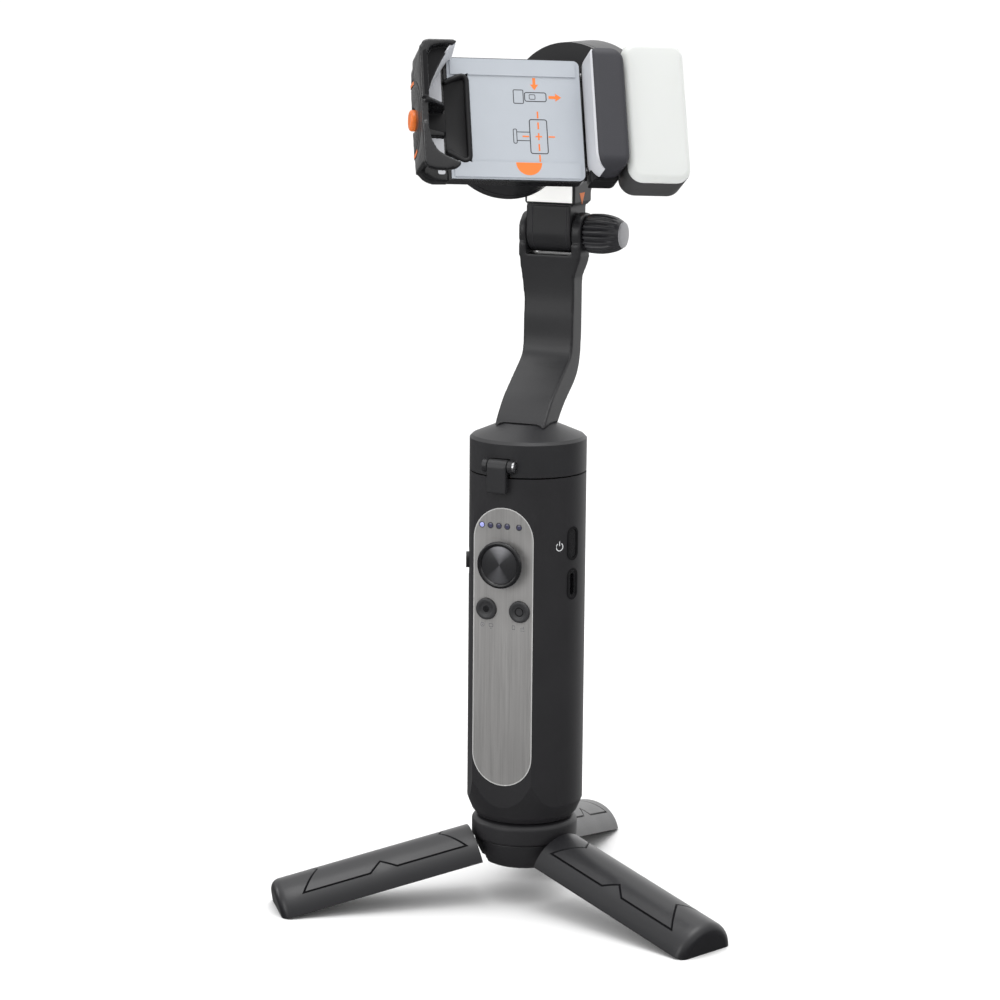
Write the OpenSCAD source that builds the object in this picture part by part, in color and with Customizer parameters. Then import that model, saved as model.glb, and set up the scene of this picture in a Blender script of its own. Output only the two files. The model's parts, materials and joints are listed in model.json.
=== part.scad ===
// Folding handheld stabiliser for a smartphone, on its three-legged table stand.
// Frame: +Z up, the control panel faces -Y, the folding knob is on +X.
// The origin is on the pan axis, level with the feet.

/* [Handle] */
// Radius of the round handle
handle_r = 20; // [19:0.25:22]
// Height of the handle above its panel, up to the seam of the pan housing
head_room = 10; // [9:0.2:14]
// Wall of the handle shells
shell_wall = 2.2; // [1.8:0.1:2.6]
// Length over which the lower end is rounded in
base_round = 15; // [12:0.5:18]
// Width of the silver panel
panel_w = 22; // [20:0.5:23]
// Length of the silver panel
panel_l = 96.6; // [90:0.5:98]
// Height of the panel above the handle's lower end
panel_up = 14; // [12:0.5:16]
// Thickness of the panel
panel_t = 0.8; // [0.6:0.1:1.2]

/* [Controls] */
// Radius of the joystick cap
stick_r = 8.1; // [7:0.1:8.6]
// Distance of the joystick below the panel's upper end
stick_drop = 19; // [17.6:0.2:20]
// Radius of the two round buttons
button_r = 3.7; // [3:0.1:4]
// Sideways distance of a round button from the middle
button_x = 6.1; // [5.4:0.1:6.6]
// Distance of the round buttons below the panel's upper end
button_drop = 35.2; // [33.6:0.2:37.6]
// Direction of the side controls, turned from the front
side_turn = 74; // [70:1:80]
// Length of the power button
power_l = 10; // [8:0.5:11]
// Distance of the power button below the seam
power_drop = 23; // [20.6:0.2:24.6]
// Width of the charging socket
usb_w = 9; // [8.6:0.1:9.6]
// Distance of the charging socket below the seam
usb_drop = 37; // [35.6:0.2:39.6]

/* [Stand] */
// Number of legs
leg_count = 3; // [3:1:3]
// Width of a leg
leg_w = 25; // [22:0.5:26]
// Height of a leg's section
leg_h = 10; // [9:0.25:10.5]
// Length of a leg from its pivot to its tip
leg_reach = 78.6; // [70:0.5:90]
// Slope of an open leg
leg_slope = 13; // [11:0.5:14]
// Direction of the first leg
leg_turn = 217.5; // [200:0.5:240]
// Radius of the stand's ring
ring_r = 18.3; // [17.6:0.1:19]
// Radius of the leg pins
leg_pin_r = 1.2; // [1:0.1:1.4]

/* [Arm] */
// Width of the curved arm
arm_w = 18.4; // [17.8:0.2:19]
// Distance of the fold axis behind the pan axis
fold_y = 22; // [21:0.25:23]
// Height of the fold axis
fold_z = 230; // [228:0.5:233]
// Radius of the fold knuckle
knuckle_r = 7; // [6.6:0.1:7.2]
// Radius of the fold bolt
bolt_r = 2; // [1.6:0.1:2.4]
// Length of the clamping knob
knob_l = 12.6; // [11:0.2:14]
// Largest radius of the clamping knob
knob_r = 6.9; // [6.4:0.1:7.4]

/* [Motors] */
// Height of the middle motor's axis
tilt_z = 272; // [271.5:0.25:273]
// Radius of the middle motor
tilt_r = 22; // [21:0.25:22.5]
// Front face of the middle motor's rotor
tilt_y0 = 31; // [30.5:0.25:32]
// Length of the middle motor
tilt_l = 26; // [24:0.5:28]
// Radius of the motor behind the clamp
roll_r = 21; // [20:0.25:21.5]
// Depth of that motor's seam behind the phone plate
roll_seam = 16; // [15.5:0.25:17]
// Depth of that motor's back behind the phone plate
roll_back = 23; // [22.5:0.25:24]

/* [Clamp] */
// Turn of the clamp's face from the front
clamp_yaw = 37.1; // [30:0.1:40]
// Upward tilt of the clamp's face
clamp_pitch = 24.2; // [20:0.1:27]
// Spin of the clamp in its own plane
clamp_spin = -1.9; // [-6:0.1:6]
// Distance of the clamp's middle in front of the pan axis
clamp_y = 12; // [11.5:0.25:13]
// Height of the clamp's middle
clamp_z = 270.2; // [269.5:0.1:271]
// Half height of the clamp frame
frame_hv = 21.5; // [21:0.1:22]
// Depth of the clamp frame
frame_t = 4.2; // [4:0.1:4.6]
// Reach of the frame to the moving jaw
frame_u1 = 22.6; // [20:0.2:26]
// Reach of the frame to the fixed jaw
frame_u0 = 24; // [22:0.2:26]
// Outside of the fixed jaw
jaw_u0 = 34.2; // [33:0.1:36]
// Thickness of the moving jaw
jaw_w = 11.6; // [11:0.1:13]
// Half height of the jaws
jaw_hv = 23.3; // [22.6:0.1:24]
// Height of the jaws over the phone plate
jaw_n = 12; // [10:0.1:13]
// Width of the lamp
lamp_w = 21.7; // [19:0.1:23]
// Half height of the lamp
lamp_hv = 24.6; // [23:0.1:26]
// Depth of the lamp's case
lamp_t = 13; // [11:0.1:14]
// Height of the lamp's domed diffuser
diffuser_t = 3.2; // [3:0.1:4]

/* [Hidden] */

// Clearances, the overrun of every cut and facet counts
touch = 0.02;
fit = 0.05;
gap = 0.3;
over = 1;
edge = 1;
round_fn = 96;
small_fn = 48;
hull_fn = 32;

// Legs, in leg coordinates: s runs out along the leg, t up from its flat underside
pivot_r = 11;
pivot_h = 1.75;
pivot_z = leg_reach * sin(leg_slope) + pivot_h * cos(leg_slope);
leg_start = 7.2;
leg_arc_r = (leg_h * leg_h + leg_w * leg_w / 4) / (2 * leg_h);
leg_tip_round = 3.5;
tongue_w = 8;
tongue_r = 2.6;
tongue_s1 = 16;
pad_s0 = 48;
pad_s1 = leg_reach - edge;
pad_w = 17;
pad_t = 1.3;
pad_recess = 1;
hub_up = 2.8137;
hub_l = 9.3;
ring_l = 7.1;
hub_z1 = pivot_z + hub_up;
ring_z1 = hub_z1 + ring_l;
hub_z0 = hub_z1 - hub_l;
hub_top_r = 17.6;
hub_shares = [[0.72, 0], [0.83, 0.1], [0.935, 0.5], [0.985, 0.8], [1, 1]];
ring_round = 1.2;
neck_r = 15.6;
slot_w = tongue_w + 2 * gap;
screw_shank_r = 3;

// Handle
neck_l = 0.7;
handle_z0 = ring_z1 + neck_l;
panel_z0 = handle_z0 + panel_up;
panel_z1 = panel_z0 + panel_l;
handle_z1 = panel_z1 + head_room;
facet_y = handle_r;
handle_in = handle_r - shell_wall;
facet_hw = panel_w / 2;
facet_corner = norm([facet_hw, facet_y]);
facet_tangent = atan2(facet_y, facet_hw) - acos(handle_r / facet_corner);
facet_fade = 14;
head_round = 5;
facet_z0 = handle_z0 + base_round;
base_shares = [[0.735, 0], [0.80, 0.12], [0.855, 0.32], [0.93, 0.62], [1, 1]];
split_share = 0.45;
rear_split = split_share * handle_r;
screw_up = 32;
screw_drop = 14.6;
screw_r = 1.5;
screw_z_low = handle_z0 + screw_up;
screw_z_high = handle_z1 - screw_drop;

// Boards, battery and the deck that carries the pan motor
deck_t = 4.6;
deck_z1 = handle_z1 - touch;
deck_z0 = deck_z1 - deck_t;
board_t = 1.2;
board_deep = 11;
board_y = facet_y - board_deep;
board_share = 0.72;
board_hw = board_share * handle_r;
board_up = 7;
board_z0 = facet_z0 + board_up;
board_z1 = deck_z0 - touch;
cell_share = 0.46;
cell_r = cell_share * handle_r;
cell_room = 35.68;
cell_y = 3.6;
cell_z0 = facet_z0 + gap;
cell_l = deck_z0 - cell_z0 - cell_room;
cell_tip = 1;
base_floor = 4;
floor_share = 0.73;
floor_r = floor_share * handle_r;
plug_share = 0.45;
plug_r = plug_share * handle_r;
insert_r = 3.1;

// Pan motor
pan_gap = 0.5;
pan_z0 = handle_z1 + pan_gap;
pan_side = 11.9;
pan_rim_z = pan_z0 + pan_side;
pan_dome = 4.2;
dome_share = 0.45;
pan_dome_r = dome_share * handle_r;
pan_wall_share = 0.14;
pan_wall = pan_wall_share * handle_r;
pan_in = handle_r - pan_wall;
pan_ceiling = pan_rim_z - pan_wall;
shaft_share = 0.15;
bearing_share = 0.3;
post_share = 0.37;
magnet_share = 0.15;
shaft_r = shaft_share * handle_r;
bearing_ro = bearing_share * handle_r;
post_r = post_share * handle_r;
magnet_wall = magnet_share * handle_r;
air_gap = 0.6;
magnet_ri = pan_in - magnet_wall;
stator_ro = magnet_ri - air_gap;
stator_z0 = deck_z1 + edge;
stator_z1 = pan_ceiling - 1.4;

// Lock catch on the seam
catch_x = -1.7;
catch_w = 7;
catch_out = 0.7;
catch_y = handle_r + catch_out;
catch_up = 4.2;
catch_z = handle_z1 + catch_up;
catch_r = 2.4;
catch_face = 3.2;
catch_front = handle_r + catch_face;
catch_plate = 2;
catch_down = 4.8;
catch_z0 = handle_z1 - catch_down;
catch_head_r = 2;
catch_head_t = 0.7;
catch_pin_r = 0.9;
catch_clear = 0.3;
lug_t = 1.6;
lug_r = 2.2;

// Curved arm, in shares of the way from its root to the fold axis
arm_hw = arm_w / 2;
root_share = 0.37;
root_y = -root_share * handle_r;
root_z = pan_rim_z + pan_dome;
front_shares = [
    [0, -0.06], [0, 0], [0.195, 0.118], [0.40, 0.20], [0.595, 0.272], [0.742, 0.333],
    [0.786, 0.411], [0.793, 0.54], [0.806, 0.666], [0.79, 0.81], [0.763, 0.94]
];
rear_shares = [
    [0.955, 0.94], [1.10, 0.86], [1.085, 0.73], [1.082, 0.602], [1.068, 0.404], [1.024, 0.288],
    [0.918, 0.207], [0.735, 0.139], [0.551, 0.072], [0.36, -0.024], [0.33, -0.06]
];
arm_steps = 5;
ear_in = 8.4;
ear_left = 2.6;
ear_right = 3.4;
floor_up = 7.6;
flare_left_l = 15;
flare_right_l = 7.4;
flare_left_top = fold_z - knuckle_r - edge;
flare_left_z = flare_left_top - flare_left_l;
flare_right_top = fold_z - floor_up;
flare_right_z = flare_right_top - flare_right_l;
floor_drop = knuckle_r + 0.5;
tongue_hw = ear_in - gap;
ledge_t = 1.6;
upper_front = 5.8;
upper_rear = 7.8;
upper_l = 9.5;
saddle_in = 4.4;
saddle_back = 4;
saddle_up = 3;
saddle_t = 7;
saddle_run = 9;
shoulder_z = fold_z + knuckle_r + edge;
ledge_z = shoulder_z + ledge_t;
upper_y0 = fold_y - upper_front;
upper_y1 = fold_y + upper_rear;
upper_top = shoulder_z + upper_l;
saddle_y0 = tilt_y0 + saddle_in;
saddle_y1 = tilt_y0 + tilt_l - saddle_back;
saddle_z = tilt_z - tilt_r + saddle_up;
saddle_low = saddle_z - saddle_t;
saddle_mid_y = tilt_y0 + saddle_run;
saddle_mid_z = shoulder_z + 2.6 * edge;
chamfer = 2.4;
label_t = 0.25;
label_margin = 0.9;
knob_gap = 0.3;
knob_x0 = ear_in + ear_right + knob_gap;
knob_x1 = knob_x0 + knob_l;
knob_cap_r = 4.4;
knob_cap_t = 0.7;
knob_ribs = 20;
knob_groove = 0.5;
bolt_head_r = 3.8;
bolt_head_t = 1;

// Middle motor
tilt_y1 = tilt_y0 + tilt_l;
rotor_t = 3;
tilt_seam = 0.4;
tilt_open = tilt_y0 + rotor_t + tilt_seam;
tilt_wall = 2.2;
tilt_round = 4;
tilt_stator_y0 = tilt_open + 2;
tilt_stator_y1 = tilt_y1 - 8;
magnet_t = 3.4;

// Motor behind the clamp, in depths behind the phone plate
plate_t = 0.8;
frame_back = plate_t + frame_t;
roll_wall = 2.2;
roll_round = 3;
swing_r = 14;
swing_front_r = 8.6;
swing_t = 2;
swing_front_y = tilt_y0 - swing_t;

// Clamp
frame_round = 3;
rod_r = 1.2;
rod_v = 16.6;
rod_u0 = 19;
rod_depth = plate_t + frame_t / 2;
rod_into_jaw = 6;
band_v = 15.1;
band_t = 0.4;
jaw_gap = 0.6;
jaw_u1 = frame_u1 + jaw_gap;
lamp_u0 = jaw_u1 + jaw_w + touch;
liner_t = 0.9;
channel_deep = 1;
channel_n = 10;
liner_end = 1.2;
jaw_round = 4.5;
pad_rise_share = 0.116;
pad_v0 = jaw_hv * (pad_rise_share - 1);
wall_t = 2.2;
lip_t = 2.2;
lip_reach = 12.5;
claw_drop = 0.5;
claw_rise = 1;
base_rise = 1.4;
claw_v1 = jaw_hv - claw_drop;
claw_v0 = -jaw_hv + claw_rise;
base_v0 = -jaw_hv + base_rise;
floor_round = 6;
upper_claw = [
    [0.02, 0.10], [0.18, 0.107], [0.216, 0.21], [0.33, 0.39], [0.46, 0.541], [0.632, 0.717],
    [0.832, 0.88], [0.97, 0.92], [1, 0.945], [0.97, 0.968], [0.85, 0.978], [0.25, 0.978], [0.1, 0.95],
    [0, 0.84]
];
lower_claw = [
    [0.02, -0.26], [0, -0.84], [0.1, -0.93], [0.3, -0.957], [0.6, -0.957], [0.84, -0.93], [0.96, -0.88],
    [0.965, -0.84], [0.592, -0.755], [0.36, -0.67], [0.21, -0.52], [0.168, -0.386], [0.12, -0.26]
];
recess = [
    [0.2, 0.12], [0.5, 0.12], [0.95, 0.8], [0.82, 0.905], [0.5, 0.89], [0.3, 0.86], [0.2, 0.76]
];
recess_t = 2.4;
wall_back = [
    [-0.8, 0], [-0.5, -0.06], [-0.25, -0.12], [0, -0.14], [0.25, -0.1], [0.45, 0], [0.62, 0.5], [0.7, 0.9]
];
rib_v0 = 1.2;
rib_v1 = 2.5;
rib_deep = 5;
rib_end = 3;
neck_v0 = -6.8;
neck_v1 = 1.4;
neck_n = 0.3;
cradle_u0 = 24.4;
cradle_u1 = 16;
cradle_hv0 = 12;
cradle_hv1 = 15.6;
cradle_deep = 3;
cradle_dish_r = 16;
accent_r = 13;
accent_ri = 11.6;
accent_t = 0.5;
accent_n = -4;
boss_r = 13.6;
boss_back = 6.4;
release_r = 3.8;
release_out = 1.3;
release_deep = 2;
lamp_back = 7;
lamp_n1 = lamp_t - lamp_back;
lamp_round = 5.2;
lamp_lift_share = 0.033;
lamp_v0 = lamp_hv * (lamp_lift_share - 1);
lamp_v1 = lamp_hv * (lamp_lift_share + 1);
lamp_rim = 1.2;
lens_rim = 0.2;
diffuser_in = 1;
diffuser_edge = 2.6;

// Controls
stick_hole_r = 6;
stick_out = 4.2;
stick_t = 1.8;
stick_z = panel_z1 - stick_drop;
stick_front = facet_y + stick_out;
stick_back = stick_front - stick_t;
stick_dish = 0.7;
stick_rim = 1.2;
pivot_deep = 6.6;
stick_pivot = facet_y - pivot_deep;
stem_r = 2.2;
cross_r = 0.5;
gimbal_r = 4.6;
gimbal_t = 2;
post_t = 1.2;
socket_w = 12.4;
socket_t = 2;
button_out = 0.9;
button_deep = 4.8;
button_z = panel_z1 - button_drop;
button_back = facet_y - button_deep;
button_dish_r = 2.2;
button_dish = 0.35;
plunger_r = 1.8;
plunger_end = board_y + edge;
led_r = 0.8;
led_drop = 6.3;
led_z = panel_z1 - led_drop;
led_x = [-8, -4.9, -1.8, 1.3, 5.6];
power_z = handle_z1 - power_drop;
usb_z = handle_z1 - usb_drop;
power_w = 3.8;
power_in = 0.2;
power_deep = 3;
usb_t = 3.4;
usb_wall = 0.7;
usb_deep = 6.6;
slider_w = 4.4;
slider_l = 5.6;
slider_out = 0.9;
slider_travel = 2;
slider_turn = -66.6;
slider_drop = 31.5;
slider_z = handle_z1 - slider_drop;
slider_deep = 2.6;

// Round bars along X, Y and Z between two places
module bar_x(r, x0, x1) {
    translate([x0, 0, 0]) rotate([0, 90, 0]) cylinder(r = r, h = x1 - x0, $fn = small_fn);
}

module bar_y(r, y0, y1) {
    translate([0, y0, 0]) rotate([-90, 0, 0]) cylinder(r = r, h = y1 - y0, $fn = small_fn);
}

module bar_z(r, z0, z1) {
    translate([0, 0, z0]) cylinder(r = r, h = z1 - z0, $fn = round_fn);
}

module box(x0, x1, y0, y1, z0, z1) {
    translate([x0, y0, z0]) cube([x1 - x0, y1 - y0, z1 - z0]);
}

// A profile drawn in Y and Z, stretched along X
module across(x0, x1) {
    translate([x0, 0, 0]) rotate([90, 0, 90]) linear_extrude(x1 - x0) children();
}

// An outline drawn in X and Z, stretched along Y
module through(y0, y1) {
    translate([0, y1, 0]) rotate([90, 0, 0]) linear_extrude(y1 - y0) children();
}

// A plate drawn in u and v, stretched along n
module layer(n0, n1) {
    translate([0, 0, n0]) linear_extrude(n1 - n0) children();
}

// Rounded rectangle between two corners
module round_rect(x0, x1, y0, y1, r) {
    translate([x0, y0 + r]) square([x1 - x0, y1 - y0 - 2 * r]);
    translate([x0 + r, y0]) square([x1 - x0 - 2 * r, y1 - y0]);
    for (x = [x0 + r, x1 - r], y = [y0 + r, y1 - r]) {
        translate([x, y]) circle(r, $fn = small_fn);
    }
}

// A slot with round ends, upright
module stadium(w, l) {
    translate([0, w / 2]) circle(w / 2, $fn = small_fn);
    translate([0, l - w / 2]) circle(w / 2, $fn = small_fn);
    translate([-w / 2, w / 2]) square([w, l - w]);
}

// A smooth line through the given points
function knot(p, i) = p[max(0, min(len(p) - 1, i))];
function curve_at(a, b, c, d, t) = b + t * (c - a) / 2 + t * t * (a - 2.5 * b + 2 * c - d / 2)
    + t * t * t * (1.5 * b - a / 2 - 1.5 * c + d / 2);
function curve(p) = [
    for (i = [0 : len(p) - 2], k = [0 : arm_steps - 1])
        curve_at(knot(p, i - 1), knot(p, i), knot(p, i + 1), knot(p, i + 2), k / arm_steps)
];

// Places things in clamp coordinates: u to the moving jaw, v up, n out of the plate
module in_clamp() {
    translate([0, -clamp_y, clamp_z])
        rotate([0, 0, clamp_yaw])
            rotate([90 - clamp_pitch, 0, 0])
                rotate([0, 0, clamp_spin])
                    children();
}

// Places things on leg number i, with X along the leg and Z up from its underside
module on_leg(i) {
    rotate([0, 0, leg_turn + i * 360 / leg_count])
        translate([pivot_r, 0, pivot_z])
            rotate([0, leg_slope, 0])
                translate([0, 0, -pivot_h])
                    children();
}

// Section of the handle: a circle with a flat front and soft corners
module handle_section() {
    circle(handle_r, $fn = round_fn);
    polygon([
        [-handle_r * cos(facet_tangent), -handle_r * sin(facet_tangent)],
        [-facet_hw, -facet_y],
        [facet_hw, -facet_y],
        [handle_r * cos(facet_tangent), -handle_r * sin(facet_tangent)]
    ]);
}

// Outer form of the handle, rounded in at the bottom and fading to a circle at the seam
module handle_form() {
    intersection() {
        translate([0, 0, handle_z0]) linear_extrude(handle_z1 - handle_z0) handle_section();
        rotate_extrude($fn = round_fn)
            polygon(concat(
                [[0, handle_z0]],
                [for (s = base_shares) [s[0] * facet_corner, handle_z0 + s[1] * base_round]],
                [
                    [facet_corner, handle_z1 - facet_fade], [handle_r, handle_z1 - head_round],
                    [handle_r, handle_z1], [0, handle_z1]
                ]
            ));
    }
}

module handle_hollow() {
    bar_z(handle_in, facet_z0, handle_z1 + over);
    bar_z(floor_r, handle_z0 + base_floor, facet_z0 + over);
    bar_z(plug_r + fit, handle_z0 - over, facet_z0);
}

module side_controls_cut() {
    rotate([0, 0, side_turn]) {
        translate([0, 0, power_z - power_l / 2 - gap / 2])
            through(-handle_r - over, -handle_r + power_deep + over)
                stadium(power_w + gap, power_l + gap);
        translate([0, 0, usb_z - usb_w / 2 - fit])
            through(-handle_r - over, -handle_r + power_deep + over)
                stadium(usb_t + 2 * fit, usb_w + 2 * fit);
    }
    rotate([0, 0, slider_turn])
        translate([0, 0, slider_z - slider_l / 2 - slider_travel - gap])
            through(-handle_r - over, -handle_r + power_deep + over)
                stadium(slider_w + 2 * gap, slider_l + 2 * slider_travel + 2 * gap);
}

module panel_form(deep) {
    translate([0, 0, panel_z0]) through(-facet_y - deep, -facet_y + panel_t) stadium(panel_w, panel_l);
}

module handle_front_shell() color("#2b2b2e") {
    difference() {
        handle_form();
        handle_hollow();
        panel_form(over);
        box(-handle_r - over, handle_r + over, rear_split, handle_r + over, facet_z0, handle_z1 + over);
        translate([0, 0, stick_z]) bar_y(stick_hole_r, -facet_y - over, 0);
        for (side = [-1, 1]) {
            translate([side * button_x, 0, button_z]) bar_y(button_r + gap, -facet_y - over, 0);
        }
        for (x = led_x) {
            translate([x, 0, led_z]) bar_y(led_r + fit, -facet_y - over, 0);
        }
        side_controls_cut();
    }
}

module handle_rear_shell() color("#2a2a2d") {
    difference() {
        bar_z(handle_r, facet_z0 + touch, handle_z1);
        bar_z(handle_in, facet_z0, handle_z1 + over);
        box(-handle_r - over, handle_r + over, -handle_r - over, rear_split + touch,
            facet_z0, handle_z1 + over);
        for (z = [screw_z_low, screw_z_high]) {
            translate([0, 0, z]) bar_y(screw_r + fit, 0, handle_r + over);
            translate([0, 0, z]) bar_y(2 * screw_r, handle_r - shell_wall / 2, handle_r + over);
        }
    }
}

module shell_screws() color("silver") {
    for (z = [screw_z_low, screw_z_high]) {
        translate([0, 0, z]) {
            bar_y(screw_r, handle_in - screw_r, handle_r - shell_wall / 2);
            difference() {
                bar_y(2 * screw_r - fit, handle_r - shell_wall / 2, handle_r - gap);
                translate([0, handle_r, 0])
                    rotate([90, 0, 0])
                        cylinder(r = screw_r, h = 2 * gap, $fn = 6);
            }
        }
    }
}

module control_panel() color("#b9b6b3") {
    difference() {
        translate([0, 0, panel_z0 + fit])
            through(-facet_y, -facet_y + panel_t - touch)
                stadium(panel_w - 2 * fit, panel_l - 2 * fit);
        translate([0, 0, stick_z]) bar_y(stick_hole_r, -facet_y - over, 0);
        for (side = [-1, 1]) {
            translate([side * button_x, 0, button_z]) bar_y(button_r + 2 * fit, -facet_y - over, 0);
        }
        for (x = led_x) {
            translate([x, 0, led_z]) bar_y(led_r + fit, -facet_y - over, 0);
        }
    }
}

module led_lenses() color("#9fb4ff") {
    for (x = led_x) {
        translate([x, 0, led_z]) bar_y(led_r, -facet_y - fit, -board_y - touch);
    }
}

module main_board() color("#1f5a3c") {
    box(-board_hw, board_hw, -board_y, -board_y + board_t, board_z0, board_z1);
}

module battery_cell() color("#3f6fb5") {
    translate([0, cell_y, 0]) bar_z(cell_r, cell_z0, cell_z0 + cell_l);
    translate([0, cell_y, 0]) bar_z(cell_r / 3, cell_z0 + cell_l, cell_z0 + cell_l + cell_tip);
}

module joystick_base() color("#1d1d1f") {
    difference() {
        translate([0, 0, stick_z])
            box(-socket_w / 2, socket_w / 2, -board_y - socket_t, -board_y - touch,
                -socket_w / 2, socket_w / 2);
        translate([0, 0, stick_z]) bar_y(stem_r + edge, -board_y - socket_t - over, 0);
    }
    difference() {
        translate([0, 0, stick_z])
            for (side = [-1, 1]) {
                translate([side * (gimbal_r + gap + post_t / 2), 0, 0])
                    box(-post_t / 2, post_t / 2, -stick_pivot - gimbal_t / 2 - edge / 2,
                        -board_y - socket_t, -gimbal_t, gimbal_t);
            }
        translate([0, -stick_pivot, stick_z]) bar_x(cross_r + fit, -socket_w, socket_w);
    }
}

module joystick_cradle() color("#3a3a3c") {
    difference() {
        union() {
            translate([0, 0, stick_z])
                bar_y(gimbal_r, -stick_pivot - gimbal_t / 2, -stick_pivot + gimbal_t / 2);
            translate([0, -stick_pivot, stick_z])
                bar_x(cross_r, -gimbal_r - gap - post_t, gimbal_r + gap + post_t);
        }
        translate([0, 0, stick_z]) bar_y(stem_r + edge, -facet_y, 0);
        translate([0, -stick_pivot, 0])
            bar_z(cross_r + fit, stick_z - gimbal_r - over, stick_z + gimbal_r + over);
    }
}

module joystick_stem() color("#1b1b1d") {
    translate([0, 0, stick_z]) bar_y(stem_r, -stick_back, -stick_pivot + gimbal_t / 2);
    translate([0, -stick_pivot, 0])
        bar_z(cross_r, stick_z - gimbal_r + gap, stick_z + gimbal_r - gap);
}

// Cap with a bevelled rim and a shallow dish
module joystick_cap() color("#202022") {
    depth = stick_front - stick_back;
    translate([0, -stick_back, stick_z])
        rotate([90, 0, 0])
            rotate_extrude($fn = round_fn)
                polygon([
                    [0, touch], [stick_r - depth / 3, touch], [stick_r, depth / 3],
                    [stick_r, depth * 2 / 3], [stick_r - depth / 3, depth],
                    [stick_r - stick_rim, depth], [stick_r - stick_rim - stick_dish, depth - stick_dish],
                    [0, depth - stick_dish]
                ]);
}

module round_button(x) {
    translate([x, 0, button_z])
        difference() {
            union() {
                bar_y(button_r, -facet_y - button_out, -button_back);
                bar_y(plunger_r, -button_back, -plunger_end);
            }
            bar_y(button_dish_r, -facet_y - button_out - over, -facet_y - button_out + button_dish);
        }
}

module record_button() color("#28282a") round_button(-button_x);

module mode_button() color("#28282a") round_button(button_x);

module power_button() color("#232325") {
    rotate([0, 0, side_turn])
        translate([0, 0, power_z - power_l / 2])
            through(-handle_r + power_in, -handle_r + power_deep)
                stadium(power_w, power_l);
}

module usb_socket() color("#8d8f92") {
    rotate([0, 0, side_turn]) {
        difference() {
            translate([0, 0, usb_z - usb_w / 2])
                through(-handle_r + power_in, -handle_r + usb_deep)
                    stadium(usb_t, usb_w);
            translate([0, 0, usb_z - usb_w / 2 + usb_wall])
                through(-handle_r - over, -handle_r + usb_deep - usb_wall)
                    stadium(usb_t - 2 * usb_wall, usb_w - 2 * usb_wall);
        }
        translate([0, 0, usb_z])
            box(-usb_wall / 2, usb_wall / 2, -handle_r + 2 * usb_wall, -handle_r + usb_deep - touch,
                -usb_w / 2 + usb_t / 2, usb_w / 2 - usb_t / 2);
    }
}

module zoom_slider() color("#303033") {
    rotate([0, 0, slider_turn])
        translate([0, 0, slider_z - slider_l / 2])
            through(-handle_r - slider_out, -handle_r + slider_deep)
                stadium(slider_w, slider_l);
}

module pan_deck() color("#47474a") {
    difference() {
        union() {
            bar_z(handle_in - touch, deck_z0, deck_z1);
            bar_z(post_r, deck_z1 - over, stator_z1);
        }
        bar_z(bearing_ro + touch, deck_z0 - over, stator_z1 + over);
    }
}

module pan_bearing() color("silver") {
    difference() {
        bar_z(bearing_ro, deck_z0, deck_z1);
        bar_z(shaft_r + fit, deck_z0 - over, deck_z1 + over);
    }
}

module pan_stator() color("#b87333") {
    difference() {
        bar_z(stator_ro, stator_z0, stator_z1);
        bar_z(post_r + touch, stator_z0 - over, stator_z1 + over);
    }
}

module base_plug() color("#37373a") {
    difference() {
        bar_z(plug_r, handle_z0, facet_z0);
        bar_z(insert_r, handle_z0 - over, facet_z0 - base_floor);
    }
}

module tripod_screw() color("silver") {
    bar_z(screw_shank_r, hub_z1, facet_z0 - base_floor - over);
}

module tripod_ring() color("#28282b") {
    difference() {
        union() {
            bar_z(ring_r, hub_z1 + touch, ring_z1 - ring_round);
            translate([0, 0, ring_z1 - ring_round])
                cylinder(r1 = ring_r, r2 = ring_r - ring_round, h = ring_round, $fn = round_fn);
            bar_z(neck_r, ring_z1 - over, handle_z0 - touch);
        }
        bar_z(screw_shank_r + fit, hub_z1 - over, handle_z0 + over);
    }
}

// Bowl that carries the legs, with a slot and a pin bore for each
module tripod_hub() color("#232326") {
    difference() {
        rotate_extrude($fn = round_fn)
            polygon(concat(
                [[0, hub_z0]],
                [for (s = hub_shares) [s[0] * hub_top_r, hub_z0 + s[1] * (hub_z1 - hub_z0)]],
                [[0, hub_z1]]
            ));
        for (i = [0 : leg_count - 1]) {
            rotate([0, 0, leg_turn + i * 360 / leg_count]) {
                box(pivot_r - tongue_r - gap, ring_r + over, -slot_w / 2, slot_w / 2,
                    hub_z0 - over, hub_z1 + over);
                translate([pivot_r, 0, pivot_z]) bar_y(leg_pin_r, -hub_top_r / 2, hub_top_r / 2);
            }
        }
    }
}

module leg_pins() color("silver") {
    for (i = [0 : leg_count - 1]) {
        rotate([0, 0, leg_turn + i * 360 / leg_count])
            translate([pivot_r, 0, pivot_z])
                bar_y(leg_pin_r - touch, -hub_top_r / 2 + edge, hub_top_r / 2 - edge);
    }
}

// Arched section of a leg, flat below
module leg_section() {
    intersection() {
        translate([0, leg_h - leg_arc_r]) circle(leg_arc_r, $fn = round_fn);
        translate([-leg_w / 2, 0]) square([leg_w, leg_h]);
    }
}

// A profile drawn in s and t, stretched over a width
module over_width(w) {
    translate([0, w / 2, 0]) rotate([90, 0, 0]) linear_extrude(w) children();
}

// Side view of a leg with its rounded tip
module leg_side() {
    translate([leg_start, -over]) square([leg_reach - leg_start - leg_tip_round, leg_h + 2 * over]);
    translate([leg_start, -over])
        square([leg_reach - leg_start, leg_h - leg_tip_round + over]);
    translate([leg_reach - leg_tip_round, leg_h - leg_tip_round]) circle(leg_tip_round, $fn = small_fn);
}

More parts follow.
